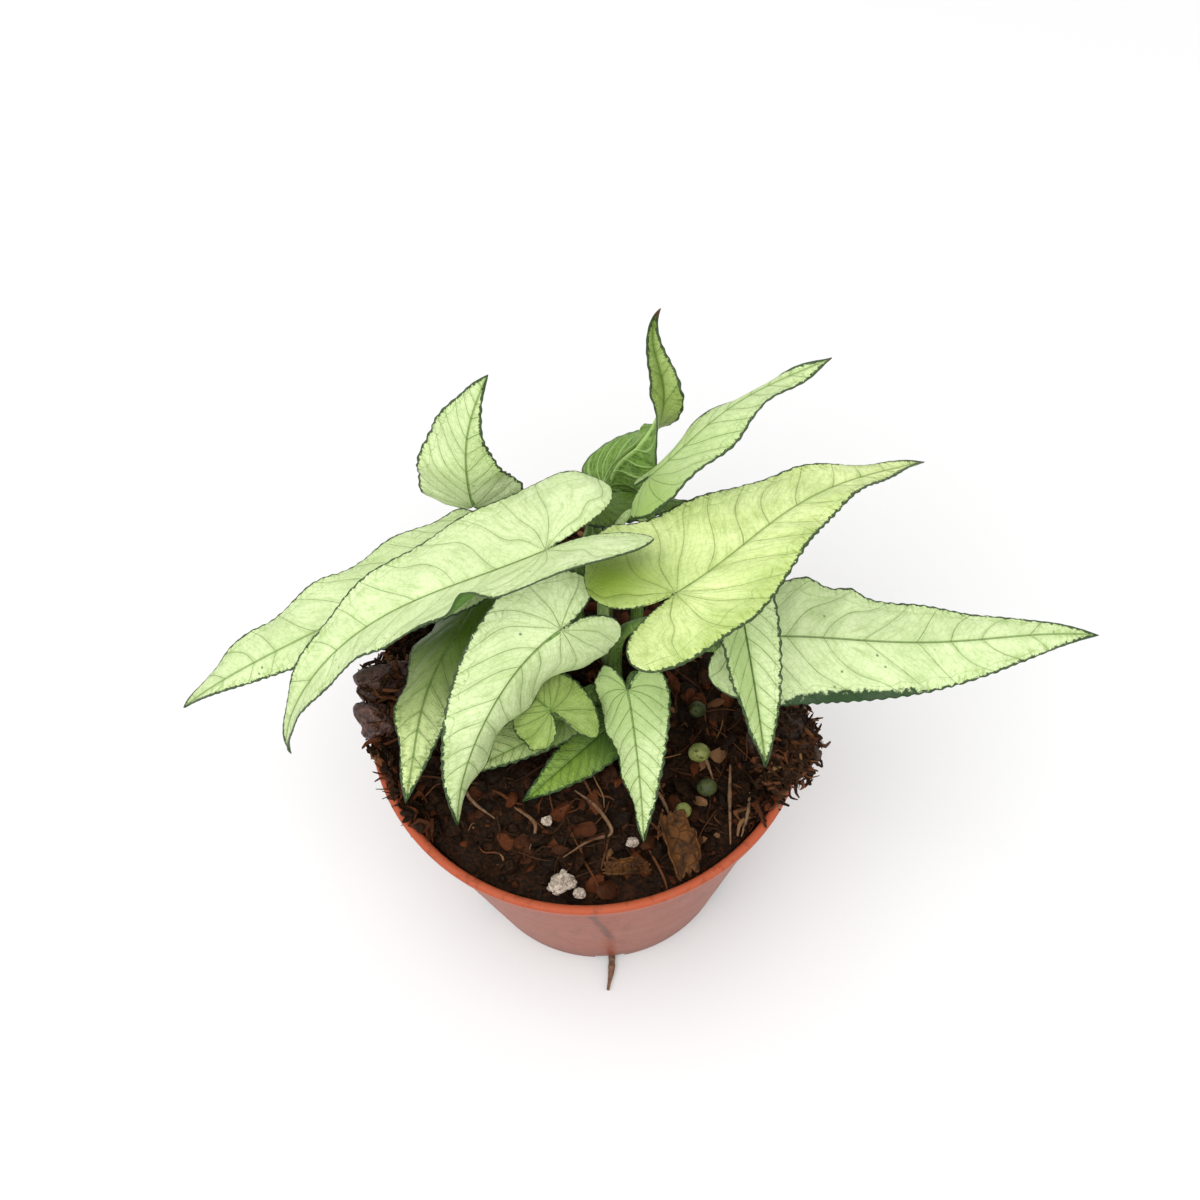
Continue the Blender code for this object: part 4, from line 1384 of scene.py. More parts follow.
    def petiole_route(self) -> tuple[list[Vector], list[float]]:
        """Places and radii of the petiole, from its end in the soil to under the midrib.

        Returns:
            The places and the radii, in mm.
        """
        x, y = self.foot
        ground = soil_level(x, y)
        zero = np.zeros(1)
        along, _, up = (Vector(rows[0]) for rows in self.axes(self.left, zero))
        start = Vector((x, y, ground + min(3.0, 0.3 * (self.joint[2] - ground))))
        end = Vector(self.joint) - up * STALK_UNDER
        lean_in = start + Vector((0, 0, self.rise))
        lean_out = end - (up * 0.8 + along * 0.6) * self.arrive
        route = [Vector((x, y, ground - STALK_DEPTH)), Vector((x, y, ground - 3.0)), Vector((x, y, ground))]
        radii = [STALK_RADIUS, STALK_RADIUS + 0.05, STALK_RADIUS + 0.05]
        for index in range(STALK_STEPS + 1):
            t = index / STALK_STEPS
            route.append(start * (1 - t) ** 3 + lean_in * 3 * t * (1 - t) ** 2
                         + lean_out * 3 * t ** 2 * (1 - t) + end * t ** 3)
            swell = 0.16 * math.exp(-((t - 1.0) / 0.06) ** 2) + 0.10 * math.exp(-((t - 0.35) / 0.05) ** 2)
            radii.append(STALK_RADIUS - STALK_TAPER * t ** 0.6 + swell)
        for share, radius in STALK_END:
            p = np.array([share * self.length])
            _, _, up = (Vector(rows[0]) for rows in self.axes(self.left, p))
            route.append(Vector(self.rib(self.left, p)[0]) - up * (0.62 - 0.8 * share))
            radii.append(radius)
        return route, radii

    def build(self) -> None:
        """Make the whole leaf as one piece and report it."""
        blade = self.build_blade()
        stalk = tube(self.name + "_petiole", *self.petiole_route(), sides=4)
        dress(stalk, STALK)
        leaf = rename(join([blade, stalk]), self.name)
        settle(leaf)
        report(leaf, self.tone.value.slot, self.node)


def painted_shade(along: float, across: float, reach_along: float, reach_across: float, strength: float) -> Tint:
    """Patch of painted shade: the blade's deep tone where the leaf lies in shade."""
    return Tint(TintKind.PAINTED_SHADE, along, across, reach_along, reach_across, strength)


def stain(along: float, across: float, reach_along: float, reach_across: float, strength: float = 1.0) -> Tint:
    """Dark green blotch."""
    return Tint(TintKind.STAIN, along, across, reach_along, reach_across, strength)


def brown(along: float, across: float, reach_along: float, reach_across: float, strength: float = 1.0) -> Tint:
    """Dried brown patch."""
    return Tint(TintKind.BROWN, along, across, reach_along, reach_across, strength)


# Shade tints are painted shade where a blade lies in shadow; stain and brown tints are the leaves' own colour.
LEAVES = [
    Leaf("far_left_leaf", "leaf_far_left", (-20, 22.5, 97), -156, -8, 77, foot=(-8, 9), droop=42, late=1.5,
         sweep=-27, roll=-6,
         left=Half(width=10, lobe=5, fold=-5, curl=-12, fullness=0.2, wave=0.8, waves=3),
         right=Half(width=14, lobe=5, fold=-2, curl=-30, hang=20, splay=-0.1, fullness=1.0, wave=0.9, waves=4.4,
                    phase=0.3),
         tints=(painted_shade(0.0, 0.0, 0.25, 2.0, 0.3),)),
    # The front left leaf's darker underside is painted shade: it lies in shadow.
    Leaf("front_left_leaf", "leaf_front_left", (-5, 5, 122), -174, -24, 83, foot=(-1, 11), droop=66, late=2.6,
         sweep=14, sway=-8, roll=6, twist=-20, under=Under.DEEP, rise=42, arrive=5,
         left=Half(width=15.5, lobe=18.5, fold=26, curl=8, hang=32, splay=-0.08, fullness=0.2, wave=0.5,
                   waves=5, phase=0.2, dents=((0.715, 0.038, 4.3),)),
         right=Half(width=22, lobe=16, fold=0, curl=-27, hang=50, splay=0.2, fullness=-0.5, wave=0.6, waves=5)),
    Leaf("left_low_leaf", "leaf_left_low", (-20.5, 17, 89), -114, 3, 45, foot=(-12, 4), droop=32, sweep=5,
         sway=-8, roll=14, twist=-10, tone=Tone.SHADY,
         left=Half(width=10, lobe=7, fold=-8),
         right=Half(width=11, lobe=7, fold=-12, curl=-28, wave=0.9),
         tints=(painted_shade(0.05, 0.0, 0.35, 3.0, 1.0), painted_shade(0.45, 0.0, 0.3, 3.0, 0.4))),
    Leaf("centre_leaf", "leaf_centre", (-3.4, -6, 112.5), -164, -33, 50.5, foot=(-5.5, 1.5), droop=37, sweep=56,
         sway=4, roll=-46, twist=-18,
         left=Half(width=16.5, lobe=11, fold=-23, curl=-38, hang=29, splay=-0.15, fullness=0.4, wave=0.9,
                   phase=0.4),
         right=Half(width=12, lobe=7, fold=-7, curl=-11, hang=50, splay=-0.1, fullness=0.4)),
    Leaf("under_centre_leaf", "leaf_under_centre", (-7, -11, 91), 133, 2, 14, foot=(1.5, -1.5), droop=10,
         roll=-10, tone=Tone.MID, rise=13, arrive=6, fine=False, cell=0.3,
         left=Half(width=9, lobe=6, fold=-16, curl=-30, hang=40, splay=0.2, wave=0.4),
         right=Half(width=8, lobe=10, fold=-4, curl=-10, hang=50, splay=-0.1, wave=0.4)),
    Leaf("low_left_leaf", "leaf_low_left", (-5, -8.6, 81.5), -153, -4, 24, foot=(-3, -4.2), droop=20, sweep=-15,
         roll=-6, tone=Tone.SHADY, rise=3, arrive=3, fine=False, cell=0.3,
         left=Half(width=4, lobe=3, wave=0.4),
         right=Half(width=8, lobe=4, fold=-5, curl=-11, wave=0.4),
         tints=(painted_shade(0.1, 0.0, 0.3, 3.0, 0.8), painted_shade(0.6, 0.0, 0.5, 3.0, 0.3))),
    Leaf("low_dark_leaf", "leaf_low_dark", (4, -8.4, 77.5), -140, -3, 23, foot=(5.8, -7), droop=10, sweep=-6,
         tone=Tone.DARK, rise=0.8, arrive=1.2, fine=False, cell=0.3,
         left=Half(width=6.5, lobe=3, fold=8, fullness=1.0, wave=0.3),
         right=Half(width=5, lobe=3, fold=8, wave=0.3),
         tints=(painted_shade(0.0, 0.0, 0.38, 3.0, 1.0),)),
    Leaf("front_small_leaf", "leaf_front_small", (8, -9, 93), -84, -30, 30, foot=(11, -1), droop=14, sweep=-8,
         roll=16, twist=20, rise=10, arrive=6, fine=False, cell=0.35,
         left=Half(width=8, lobe=4, fold=-7, hang=14, splay=0.15, fullness=0.3, wave=0.4),
         right=Half(width=8, lobe=6, fold=-16, curl=-20, hang=14, splay=0.05, fullness=0.3, wave=0.5),
         tints=(painted_shade(0.0, 0.0, 0.35, 2.0, 0.75),)),
    Leaf("big_right_leaf", "leaf_big_right", (17, -9, 127), 32, -5, 68, foot=(6, 4), droop=31, late=1.7,
         sweep=7, sway=8, roll=-20, tone=Tone.LIME, rise=30,
         left=Half(width=24, lobe=12, fold=0, curl=0, hang=27, splay=0, fullness=-0.3, wave=0.7),
         right=Half(width=14, lobe=20, fold=10, curl=-34, hang=-27, splay=0.2, fullness=-0.2, wave=0.6),
         tints=(brown(1.0, 0.0, 0.03, 3.0), painted_shade(-0.1, 0.5, 0.2, 0.6, 1.0),
                painted_shade(0.1, -0.9, 0.3, 0.35, 0.45))),
    Leaf("far_right_leaf", "leaf_far_right", (30, -3.5, 100), 9, -12, 72, foot=(13, 4), droop=-6, sweep=-16,
         sway=-8,
         left=Half(width=15, lobe=8, fold=-10, curl=-5, fullness=0.4, wave=0.5, waves=3.4,
                   dents=((0.66, 0.03, 1.8), (0.56, 0.03, 1.6))),
         right=Half(width=13.5, lobe=8, fold=-12, curl=-14, hang=15, splay=-0.1, fullness=0.75, wave=0.8,
                    waves=5),
         tints=(stain(0.28, -1.0, 0.24, 0.22),)),
    Leaf("right_down_leaf", "leaf_right_down", (29, -3, 114), -82, -33, 33, foot=(15.5, 9), droop=24, rise=30,
         fine=False, cell=0.35,
         left=Half(width=6.5, lobe=5, fold=20, fullness=0.9, wave=0.4),
         right=Half(width=6, lobe=5, fold=35, fullness=0.9, wave=0.4),
         tints=(painted_shade(0.4, -0.5, 0.5, 0.6, 0.7),)),
    Leaf("back_small_leaf", "leaf_back_small", (-19.5, 28, 105), 62, 95, 34, foot=(-4, 17.5), droop=45,
         sweep=-20, sway=8, roll=5, twist=-6, rise=28,
         left=Half(width=11, lobe=3, fold=0, curl=-4, splay=0.3, fullness=1.0, wave=0.7),
         right=Half(width=10.5, lobe=2.5, fold=-26, curl=-22, hang=0, splay=0.1, fullness=-0.5, wave=0.6)),
    Leaf("twisted_leaf", "leaf_twisted", (7, 33, 101.5), 42, 66, 44, foot=(-1, 19), droop=33, sway=-64,
         roll=213, twist=-193, turning=(0.34, 0.64), tone=Tone.MID, under=Under.BRIGHT, arrive=4,
         left=Half(width=8.5, lobe=4, fold=10, curl=20, fullness=0.3, wave=0.4),
         right=Half(width=8, lobe=4, fold=20, curl=35, fullness=0.2, wave=0.4),
         tints=(brown(1.0, 0.0, 0.06, 3.0, 0.9), painted_shade(0.75, 0.2, 0.2, 0.5, 0.6))),
    Leaf("back_right_leaf", "leaf_back_right", (15, 21, 120), 19, 35, 40, foot=(11, 11.5), droop=31, late=1.4,
         sweep=3, sway=7, roll=-18, rise=30,
         left=Half(width=4.5, lobe=5, fold=-11, curl=-30, fullness=1.1, wave=0.9, waves=2.3),
         right=Half(width=9.2, lobe=6, fold=7, curl=-11, fullness=1.1, wave=1.2, waves=2.6, phase=0.5),
         tints=(painted_shade(0.0, 0.0, 0.4, 3.0, 0.65), painted_shade(-0.08, 0.0, 0.14, 3.0, 0.6),
                brown(1.0, 0.0, 0.025, 3.0))),
    Leaf("back_dark_leaf", "leaf_back_dark", (5, 24.4, 107.5), -4, 8, 20, foot=(5, 19.5), droop=25, roll=-12,
         tone=Tone.DARK, arrive=3, fine=False, cell=0.3,
         left=Half(width=4.5, lobe=3, wave=0.4),
         right=Half(width=5.5, lobe=3, wave=0.4),
         tints=(painted_shade(0.5, 0.0, 1.0, 3.0, 0.65),)),
]


@dataclass(frozen=True)
class Shoot:
    """The new shoot: a thin pale stalk that arches over to a rolled tip."""

    foot: tuple[float, float] = (4.5, 8.5)
    arch: tuple[Point, ...] = (
        (4.5, 10.5, 92), (6, 14, 105), (9, 17, 111.5), (12, 17.8, 113), (15.7, 13.7, 110))
    radius: float = 1.3
    taper: float = 0.95
    tip_swell: float = 0.22
    steps: int = 60

    def build(self) -> None:
        """Make the shoot and report it."""
        x, y = self.foot
        ground = soil_level(x, y)
        route = smooth_route([(x, y, ground - STALK_DEPTH), (x, y, ground + 3), *self.arch], self.steps)
        radii = []
        for index in range(self.steps + 1):
            t = index / self.steps
            roll = self.tip_swell * math.exp(-((t - 0.86) / 0.07) ** 2)
            radii.append(self.radius - self.taper * t ** 1.8 + roll)
        shoot = tube("young_shoot", route, radii, sides=4)
        dress(shoot, SHOOT_STALK)
        settle(shoot)
        report(shoot, "shoot", "new_shoot")


# Pot and soil


@dataclass(frozen=True)
class Pot:
    """Thin moulded pot with a small rolled lip and drainage slots at its foot."""

    floor: float = 1.2
    lip_out: float = 0.9
    lip_drop: float = 2.6
    lip_radius: float = 0.75
    wall_rings: int = 18
    segments: int = 224
    slots: int = 6
    slot_width: float = 7.0
    slot_height: float = 3.4
    slot_depth: float = 6.0
    slot_round: float = 0.5
    finish: PotFinish = PotFinish()

    def profile(self) -> list[tuple[float, float]]:
        """Points (radius, height) from the middle of the floor's upper face round to its lower face.

        Returns:
            The points, in mm.
        """
        top = POT_HEIGHT
        inner = pot_outer_radius(self.floor) - POT_WALL
        points = [(0.5, self.floor), (inner - 1.2, self.floor), (inner - 0.5, self.floor + 0.2),
                  (inner, self.floor + 0.9)]
        points += [(pot_outer_radius(z) - POT_WALL, z)
                   for z in np.linspace(self.floor + 3, top - 1.0, self.wall_rings)]
        lip = POT_TOP_RADIUS + self.lip_out
        points += [(pot_outer_radius(top) - POT_WALL + 0.12, top - 0.35), (POT_TOP_RADIUS - 0.4, top - 0.05),
                   (POT_TOP_RADIUS, top)]
        for turn in np.radians((80, 60, 40, 20, 0, -20)):
            points.append((lip - self.lip_radius + self.lip_radius * math.cos(turn),
                           top - self.lip_radius + self.lip_radius * math.sin(turn)))
        points += [(lip - 0.12, top - 1.7), (lip - 0.2, top - self.lip_drop + 0.4),
                   (lip - 0.45, top - self.lip_drop + 0.05), (lip - 0.8, top - self.lip_drop - 0.1),
                   (pot_outer_radius(top - self.lip_drop - 0.7), top - self.lip_drop - 0.7)]
        points += [(pot_outer_radius(z), z) for z in np.linspace(top - self.lip_drop - 3, 3.0, self.wall_rings)]
        points += [(pot_outer_radius(1.4), 1.4), (pot_outer_radius(0.7) - 0.12, 0.6),
                   (POT_FOOT_RADIUS - 0.35, 0.18), (POT_FOOT_RADIUS - 0.9, 0.0), (0.5, 0.0)]
        return points

    def build(self) -> None:
        """Turn the pot, cut its slots and report it."""
        pot = lathe("nursery_pot", self.profile(), self.segments)
        for index in range(self.slots):
            angle = -math.pi / 2 + index * FULL_TURN / self.slots
            place = (POT_FOOT_RADIUS * math.cos(angle) * MM, POT_FOOT_RADIUS * math.sin(angle) * MM, 0.0)
            deselect_all()
            bpy.ops.mesh.primitive_cube_add(size=1.0, location=place, rotation=(0, 0, angle),
                                            scale=(self.slot_depth * MM, self.slot_width * MM,
                                                   self.slot_height * 2 * MM))
            slot = settle(bpy.context.object)
            apply_modifier(slot, "BEVEL", width=self.slot_round * MM, segments=3)
            apply_modifier(pot, "BOOLEAN", operation="DIFFERENCE", object=slot, solver="EXACT")
            bpy.data.objects.remove(slot, do_unlink=True)
        shade_smooth(pot, 40.0)
        dress(pot, self.finish)
        report(pot, "terracotta_plastic", "pot")


def soil_height(x: float, y: float) -> float:
    """Height of the lumpy soil at a place: it is banked up against the wall at the back and on both sides.

    Args:
        x: Place to the right, in mm.
        y: Place to the back, in mm.

    Returns:
        The height over the surface that the pot stands on, in mm.
    """
    reach = math.hypot(x, y)
    rim = pot_outer_radius(SOIL_EDGE) - POT_WALL - 0.3
    ease = min(1.0, max(0.0, (rim - reach) / 4.0))
    lump = noise.fractal(Vector((x, y, 0.0)) * SOIL_LUMP_SCALE, 0.8, 2.0, 3)
    angle = math.degrees(math.atan2(y, x))
    bank = sum(height * math.exp(-((angle - middle + 180) % 360 - 180) ** 2 / spread ** 2)
               for middle, spread, height in SOIL_BANKS)
    near = min(1.0, max(0.0, (reach - BANK_FROM) / BANK_REACH))
    return soil_level(x, y) + SOIL_LUMP * lump * ease + bank * near ** 2


@dataclass(frozen=True)
class Mesh:
    """Points and faces of a small model, for copying."""

    points: np.ndarray
    faces: np.ndarray

    @classmethod
    def of(cls, piece: Piece) -> "Mesh":
        """Take a piece's triangles and remove the piece.

        Args:
            piece: The piece.

        Returns:
            Its points and triangles.
        """
        select_only(piece)
        bpy.ops.object.mode_set(mode="EDIT")
        bpy.ops.mesh.select_all(action="SELECT")
        bpy.ops.mesh.quads_convert_to_tris()
        bpy.ops.object.mode_set(mode="OBJECT")
        mesh = cls(points_of(piece), read_rows(piece.data.polygons, "vertices", np.int64))
        bpy.data.objects.remove(piece, do_unlink=True)
        return mesh


def scatter(name: str, copies: Sequence[tuple[Mesh, Matrix, float]], finish: SoilFinish, angle: float) -> Piece:
    """Fuse placed copies of small models in one piece.

    Args:
        name: Name of the piece.
        copies: Model, placement in mm and tone of each copy.
        finish: Finish of the piece.
        angle: Edges sharper than this stay sharp.

    Returns:
        The piece, with the copies' tones in its tone attribute.
    """
    points, faces, tones = [], [], []
    count = 0
    for mesh, matrix, tone in copies:
        turned = mesh.points @ np.array(matrix.to_3x3()).T + np.array(matrix.translation)
        points.append(turned)
        faces.append(mesh.faces + count)
        tones.append(np.full((len(turned), 3), tone))
        count += len(turned)
    data = bpy.data.meshes.new(name)
    data.from_pydata((np.concatenate(points) * MM).tolist(), [], np.concatenate(faces).tolist())
    piece = bpy.data.objects.new(name, data)
    bpy.context.scene.collection.objects.link(piece)
    dress(piece, finish)
    set_attribute(piece, "tone", np.concatenate(tones))
    shade_smooth(piece, angle)
    return piece


def placed(place: Sequence[float], turn: tuple[float, float, float], size: Sequence[float]) -> Matrix:
    """Matrix that scales, turns and then moves a copy: mm and radians."""
    x, y, z = (Matrix.Rotation(angle, 4, axis) for angle, axis in zip(turn, "XYZ"))
    return Matrix.Translation(place) @ (z @ y @ x) @ Matrix.Diagonal((*size, 1.0))


def place_in_disc(rng: random.Random, radius: float) -> tuple[float, float]:
    """Draw an even place in a disc about the pot's middle.

    Args:
        rng: The random numbers.
        radius: Radius of the disc, in mm.

    Returns:
        The place, in mm.
    """
    reach = radius * math.sqrt(rng.random())
    angle = rng.uniform(0, FULL_TURN)
    return reach * math.cos(angle), reach * math.sin(angle)


@dataclass(frozen=True)
class Soil:
    """Mound of damp bark compost with its crumbs, flakes and fibres."""

    rings: int = 84
    side_rings: int = 22
    segments: int = 240
    pole: float = 0.3
    bottom: float = 1.5
    crumbs: int = 1700
    crumb_disc: float = 41.0
    crumb_shapes: tuple[float, ...] = (0.9, 0.75, 0.6, 0.5, 0.35, 0.35, 0.28)
    crumb_cuts: int = 5
    fibres: int = 560
    fibre_disc: float = 38.0
    seed: int = 5
    bed: SoilFinish = SoilFinish("compost_bed", toned=False)
    crumb: SoilFinish = SoilFinish("compost_crumbs")
    fibre: SoilFinish = SoilFinish("coir_fibre", dark=(0.015, 0.007, 0.003), brown=(0.05, 0.022, 0.009),
                                   red=(0.13, 0.045, 0.017), pale=(0.26, 0.15, 0.06))

    def build_bed(self) -> None:
        """Turn the mound with a fine top and roughen it."""
        rim = pot_outer_radius(SOIL_EDGE) - POT_WALL - WALL_GAP
        foot = pot_outer_radius(2.5) - POT_WALL - WALL_GAP
        profile = [(self.pole, soil_level(self.pole, 0))]
        for ring in range(1, self.rings + 1):
            radius = self.pole + (rim - self.pole) * ring / self.rings
            profile.append((radius, soil_level(radius, 0)))
        for z in np.linspace(SOIL_EDGE - 2, 3.0, self.side_rings):
            profile.append((pot_outer_radius(z) - POT_WALL - WALL_GAP, z))
        profile += [(foot - 1.0, self.bottom), (self.pole, self.bottom)]
        bed = lathe("potting_soil", profile, self.segments)
        places = points_of(bed)
        out = []
        for x, y, z in places.tolist():
            if z > SOIL_EDGE - 0.5:
                grain = noise.fractal(Vector((x, y, 3.0)) * 0.55, 0.9, 2.0, 4)
                ridge = noise.noise(Vector((x, y, 9.0)) * 1.4)
                z = soil_height(x, y) + 0.55 * grain + 0.25 * ridge
            out.append((x, y, z))
        set_points(bed, np.array(out))
        shade_smooth(bed)
        dress(bed, self.bed)
        report(bed, "soil", "soil")

    def chunk(self, rng: random.Random, flat: float) -> Mesh:
        """Model one angular crumb: a roughened ball with planed sides.

        Args:
            rng: The random numbers.
            flat: Height as a share of its length.

        Returns:
            The crumb, about 2 mm across.
        """
        deselect_all()
        bpy.ops.mesh.primitive_ico_sphere_add(subdivisions=3, radius=MM)
        ball = bpy.context.object
        places = points_of(ball)
        places *= (1 + 0.3 * rough(places, 0.9, rng.uniform(0, 50), 3))[:, None]
        for _ in range(self.crumb_cuts):
            normal = np.array([rng.gauss(0, 1), rng.gauss(0, 1), rng.gauss(0, 1)])
            normal /= np.linalg.norm(normal)
            depth = rng.uniform(0.45, 0.75)
            over = np.maximum(places @ normal - depth, 0.0)
            places -= 0.9 * over[:, None] * normal
        places[:, 2] *= flat
        set_points(ball, places)
        apply_modifier(ball, "DECIMATE", ratio=0.16)
        return Mesh.of(ball)

    def strand(self, rng: random.Random) -> Mesh:
        """Model one fibre, 10 mm long, bent and tapered.

        Args:
            rng: The random numbers.

        Returns:
            The fibre.
        """
        middle = [(-5, 0, 0), (-2, rng.uniform(-1.2, 1.2), rng.uniform(-0.3, 0.5)),
                  (2, rng.uniform(-1.2, 1.2), rng.uniform(-0.3, 0.5)), (5, rng.uniform(-1, 1), 0)]
        route = smooth_route(middle, 8)
        radii = [0.12 + 0.2 * math.sin(math.pi * min(1.0, (i + 0.7) / 9)) for i in range(9)]
        return Mesh.of(tube("strand", route, radii, sides=0))

    def clear(self, x: float, y: float, reach: float) -> bool:
        """Whether a place is clear of every petiole."""
        return all(math.hypot(x - leaf.foot[0], y - leaf.foot[1]) > reach for leaf in LEAVES)

    def build_crumbs(self) -> None:
        """Strew the crumbs over the bed."""
        rng = random.Random(self.seed)
        chunks = [self.chunk(rng, flat) for flat in self.crumb_shapes]
        copies = []
        while len(copies) < self.crumbs:
            x, y = place_in_disc(rng, self.crumb_disc)
            size = 0.35 + 1.9 * rng.random() ** 3
            if not self.clear(x, y, 2.0 + size * 0.6):
                continue
            long = rng.uniform(1.0, 1.9)
            turn = (rng.uniform(-0.8, 0.8), rng.uniform(-0.8, 0.8), rng.uniform(0, ANY_TURN))
            z = soil_height(x, y) + size * rng.uniform(0.0, 0.45)
            matrix = placed((x, y, z), turn, (size * long, size, size))
            copies.append((rng.choice(chunks), matrix, rng.random()))
        crumbs = scatter("soil_crumbs", copies, self.crumb, 30.0)
        report(crumbs, "soil")

    def build_fibres(self) -> None:
        """Strew coir fibres over the crumbs."""
        rng = random.Random(self.seed + 1)
        strands = [self.strand(rng) for _ in range(8)]
        copies = []
        while len(copies) < self.fibres:
            x, y = place_in_disc(rng, self.fibre_disc)
            if not self.clear(x, y, 2.4):
                continue
            long = 0.2 + 0.9 * rng.random() ** 1.6
            thick = rng.uniform(0.3, 1.1)
            turn = (rng.uniform(0, ANY_TURN), rng.uniform(-0.25, 0.25), rng.uniform(0, ANY_TURN))
            z = soil_height(x, y) + rng.uniform(0.5, 1.4)
            copies.append((rng.choice(strands), placed((x, y, z), turn, (long, thick, thick)), rng.random()))
        fibres = scatter("coir_fibres", copies, self.fibre, 60.0)
        report(fibres, "fibre")


# Loose pieces


@dataclass(frozen=True)
class Clump:
    """Blobs fused in one lump and roughened: centres and radii in mm."""

    name: str
    node: str
    slot: str
    finish: object
    blobs: tuple[tuple[Point, Point], ...]
    voxel: float = 0.3
    ridges: float = 0.5
    ridge_scale: float = 0.5
    facets: int = 0
    press: float = 0.85

    def plane_off(self, places: np.ndarray) -> np.ndarray:
        """Press flat sides into the lump.

        Args:
            places: The lump's points, in mm.

        Returns:
            The moved points.
        """
        rng = random.Random(self.name)
        for _ in range(self.facets):
            normal = np.array([rng.gauss(0, 1), rng.gauss(0, 1), rng.gauss(0, 0.7)])
            normal /= np.linalg.norm(normal)
            heights = places @ normal
            over = np.maximum(heights - np.quantile(heights, rng.uniform(0.80, 0.92)), 0.0)
            places = places - self.press * over[:, None] * normal
        return places

    def build(self) -> None:
        """Fuse, roughen, dress and report the lump."""
        balls = []
        for centre, radii in self.blobs:
            deselect_all()
            bpy.ops.mesh.primitive_ico_sphere_add(subdivisions=4, radius=1.0, location=Vector(centre) * MM,
                                                  scale=Vector(radii) * MM)
            ball = settle(bpy.context.object)
            balls.append(ball)
        lump = rename(join(balls), self.name)
        apply_modifier(lump, "REMESH", mode="VOXEL", voxel_size=self.voxel * MM)
        places = self.plane_off(points_of(lump))
        set_points(lump, places)
        broad = rough(places, self.ridge_scale * 0.35, 3.1, 3)
        fine = 1.0 - 2.0 * np.abs(rough(places, self.ridge_scale, 7.7, 4))
        displace(lump, self.ridges * (0.9 * broad + 0.45 * (fine - 0.6)))
        shade_smooth(lump)
        dress(lump, self.finish)
        report(lump, self.slot, self.node)


def bark_chip(name: str, node: str, blobs: tuple[tuple[Point, Point], ...]) -> Clump:
    """One lump of wrinkled bark with pressed sides."""
    return Clump(name, node, "bark", BARK, blobs, voxel=0.25, ridges=0.95, ridge_scale=0.42, facets=7)


def perlite_grain(name: str, node: str, centre: Point, radii: Point) -> Clump:
    """One crumbly grain of perlite."""
    return Clump(name, node, "perlite", PERLITE, ((centre, radii),), voxel=0.08, ridges=0.45, ridge_scale=1.5,
                 facets=5)


def bead(name: str, node: str, centre: Point, radii: Point, dark: bool = False, grain: float = 0.12) -> Clump:
    """One fertiliser bead; its grain is the size of its pits and of the mesh's cells."""
    slot, finish = ("bead_dark", DARK_BEAD) if dark else ("bead", BEAD)
    return Clump(name, node, slot, finish, ((centre, radii),), voxel=grain, ridges=grain, ridge_scale=0.8)


CLUMPS = [
    bark_chip("upper_bark", "bark_chip_upper",
              (((-38, 8, 72.3), (4, 4.5, 4)), ((-43, 8.5, 75.6), (5, 5, 2.6)),
               ((-45, 4.5, 74), (2.6, 3.4, 2.6)), ((-40, 11, 76), (3, 2.6, 2.4)))),
    bark_chip("lower_bark", "bark_chip_lower",
              (((-38.4, -2, 72.3), (4, 3.8, 4)), ((-43, -1.5, 75.6), (4.6, 4.4, 2.6)),
               ((-44.6, -5, 72.6), (2.2, 3.6, 2.6)), ((-43.6, -8.5, 72.4), (1.8, 2.6, 1.6)))),
    Clump("coir_clump", "fibre_clump", "fibre", COIR,
          (((35, -10, 72), (4.2, 5.5, 4)), ((41, -11, 75.8), (5, 6, 3)), ((44.9, -13.5, 73.5), (1.7, 4.5, 4.5)),
           ((45, -15.5, 68), (1.2, 2.4, 5)), ((34, -17.5, 71.5), (3.8, 4.5, 3.6)),
           ((38.5, -20.5, 74.8), (4.6, 3.6, 2))), voxel=0.28, ridges=1.15, ridge_scale=0.6, facets=8),
    Clump("front_perlite", "perlite_cluster", "perlite", PERLITE,
          (((-8.5, -39.2, 71), (1.9, 1.6, 1.6)), ((-6.3, -38.2, 71.3), (1.7, 1.5, 1.5)),
           ((-7.6, -37.4, 71.4), (1.6, 1.5, 1.4))), voxel=0.1, ridges=0.7, ridge_scale=1.1, facets=6),
    perlite_grain("rim_perlite", "perlite_1", (-4.2, -40.6, 70.6), (1.3, 1.1, 1.1)),
    perlite_grain("right_perlite", "perlite_2", (6.7, -31.5, 72.6), (1.3, 1.2, 1.1)),
    perlite_grain("left_perlite", "perlite_3", (-9.5, -26, 73.2), (1.2, 1.1, 1)),
    bead("large_bead", "bead_1", (21.4, -14.5, 74.6), (2.2, 2, 1.9)),
    bead("front_bead", "bead_2", (17.2, -26, 73.1), (1.6, 1.6, 1.5), grain=0.1),
    bead("brown_bead", "bead_3", (22.3, -21.5, 73.3), (2, 1.8, 1.7), dark=True),
    bead("back_bead", "bead_4", (22, -5, 74.9), (1.8, 1.7, 1.6), dark=True),
]


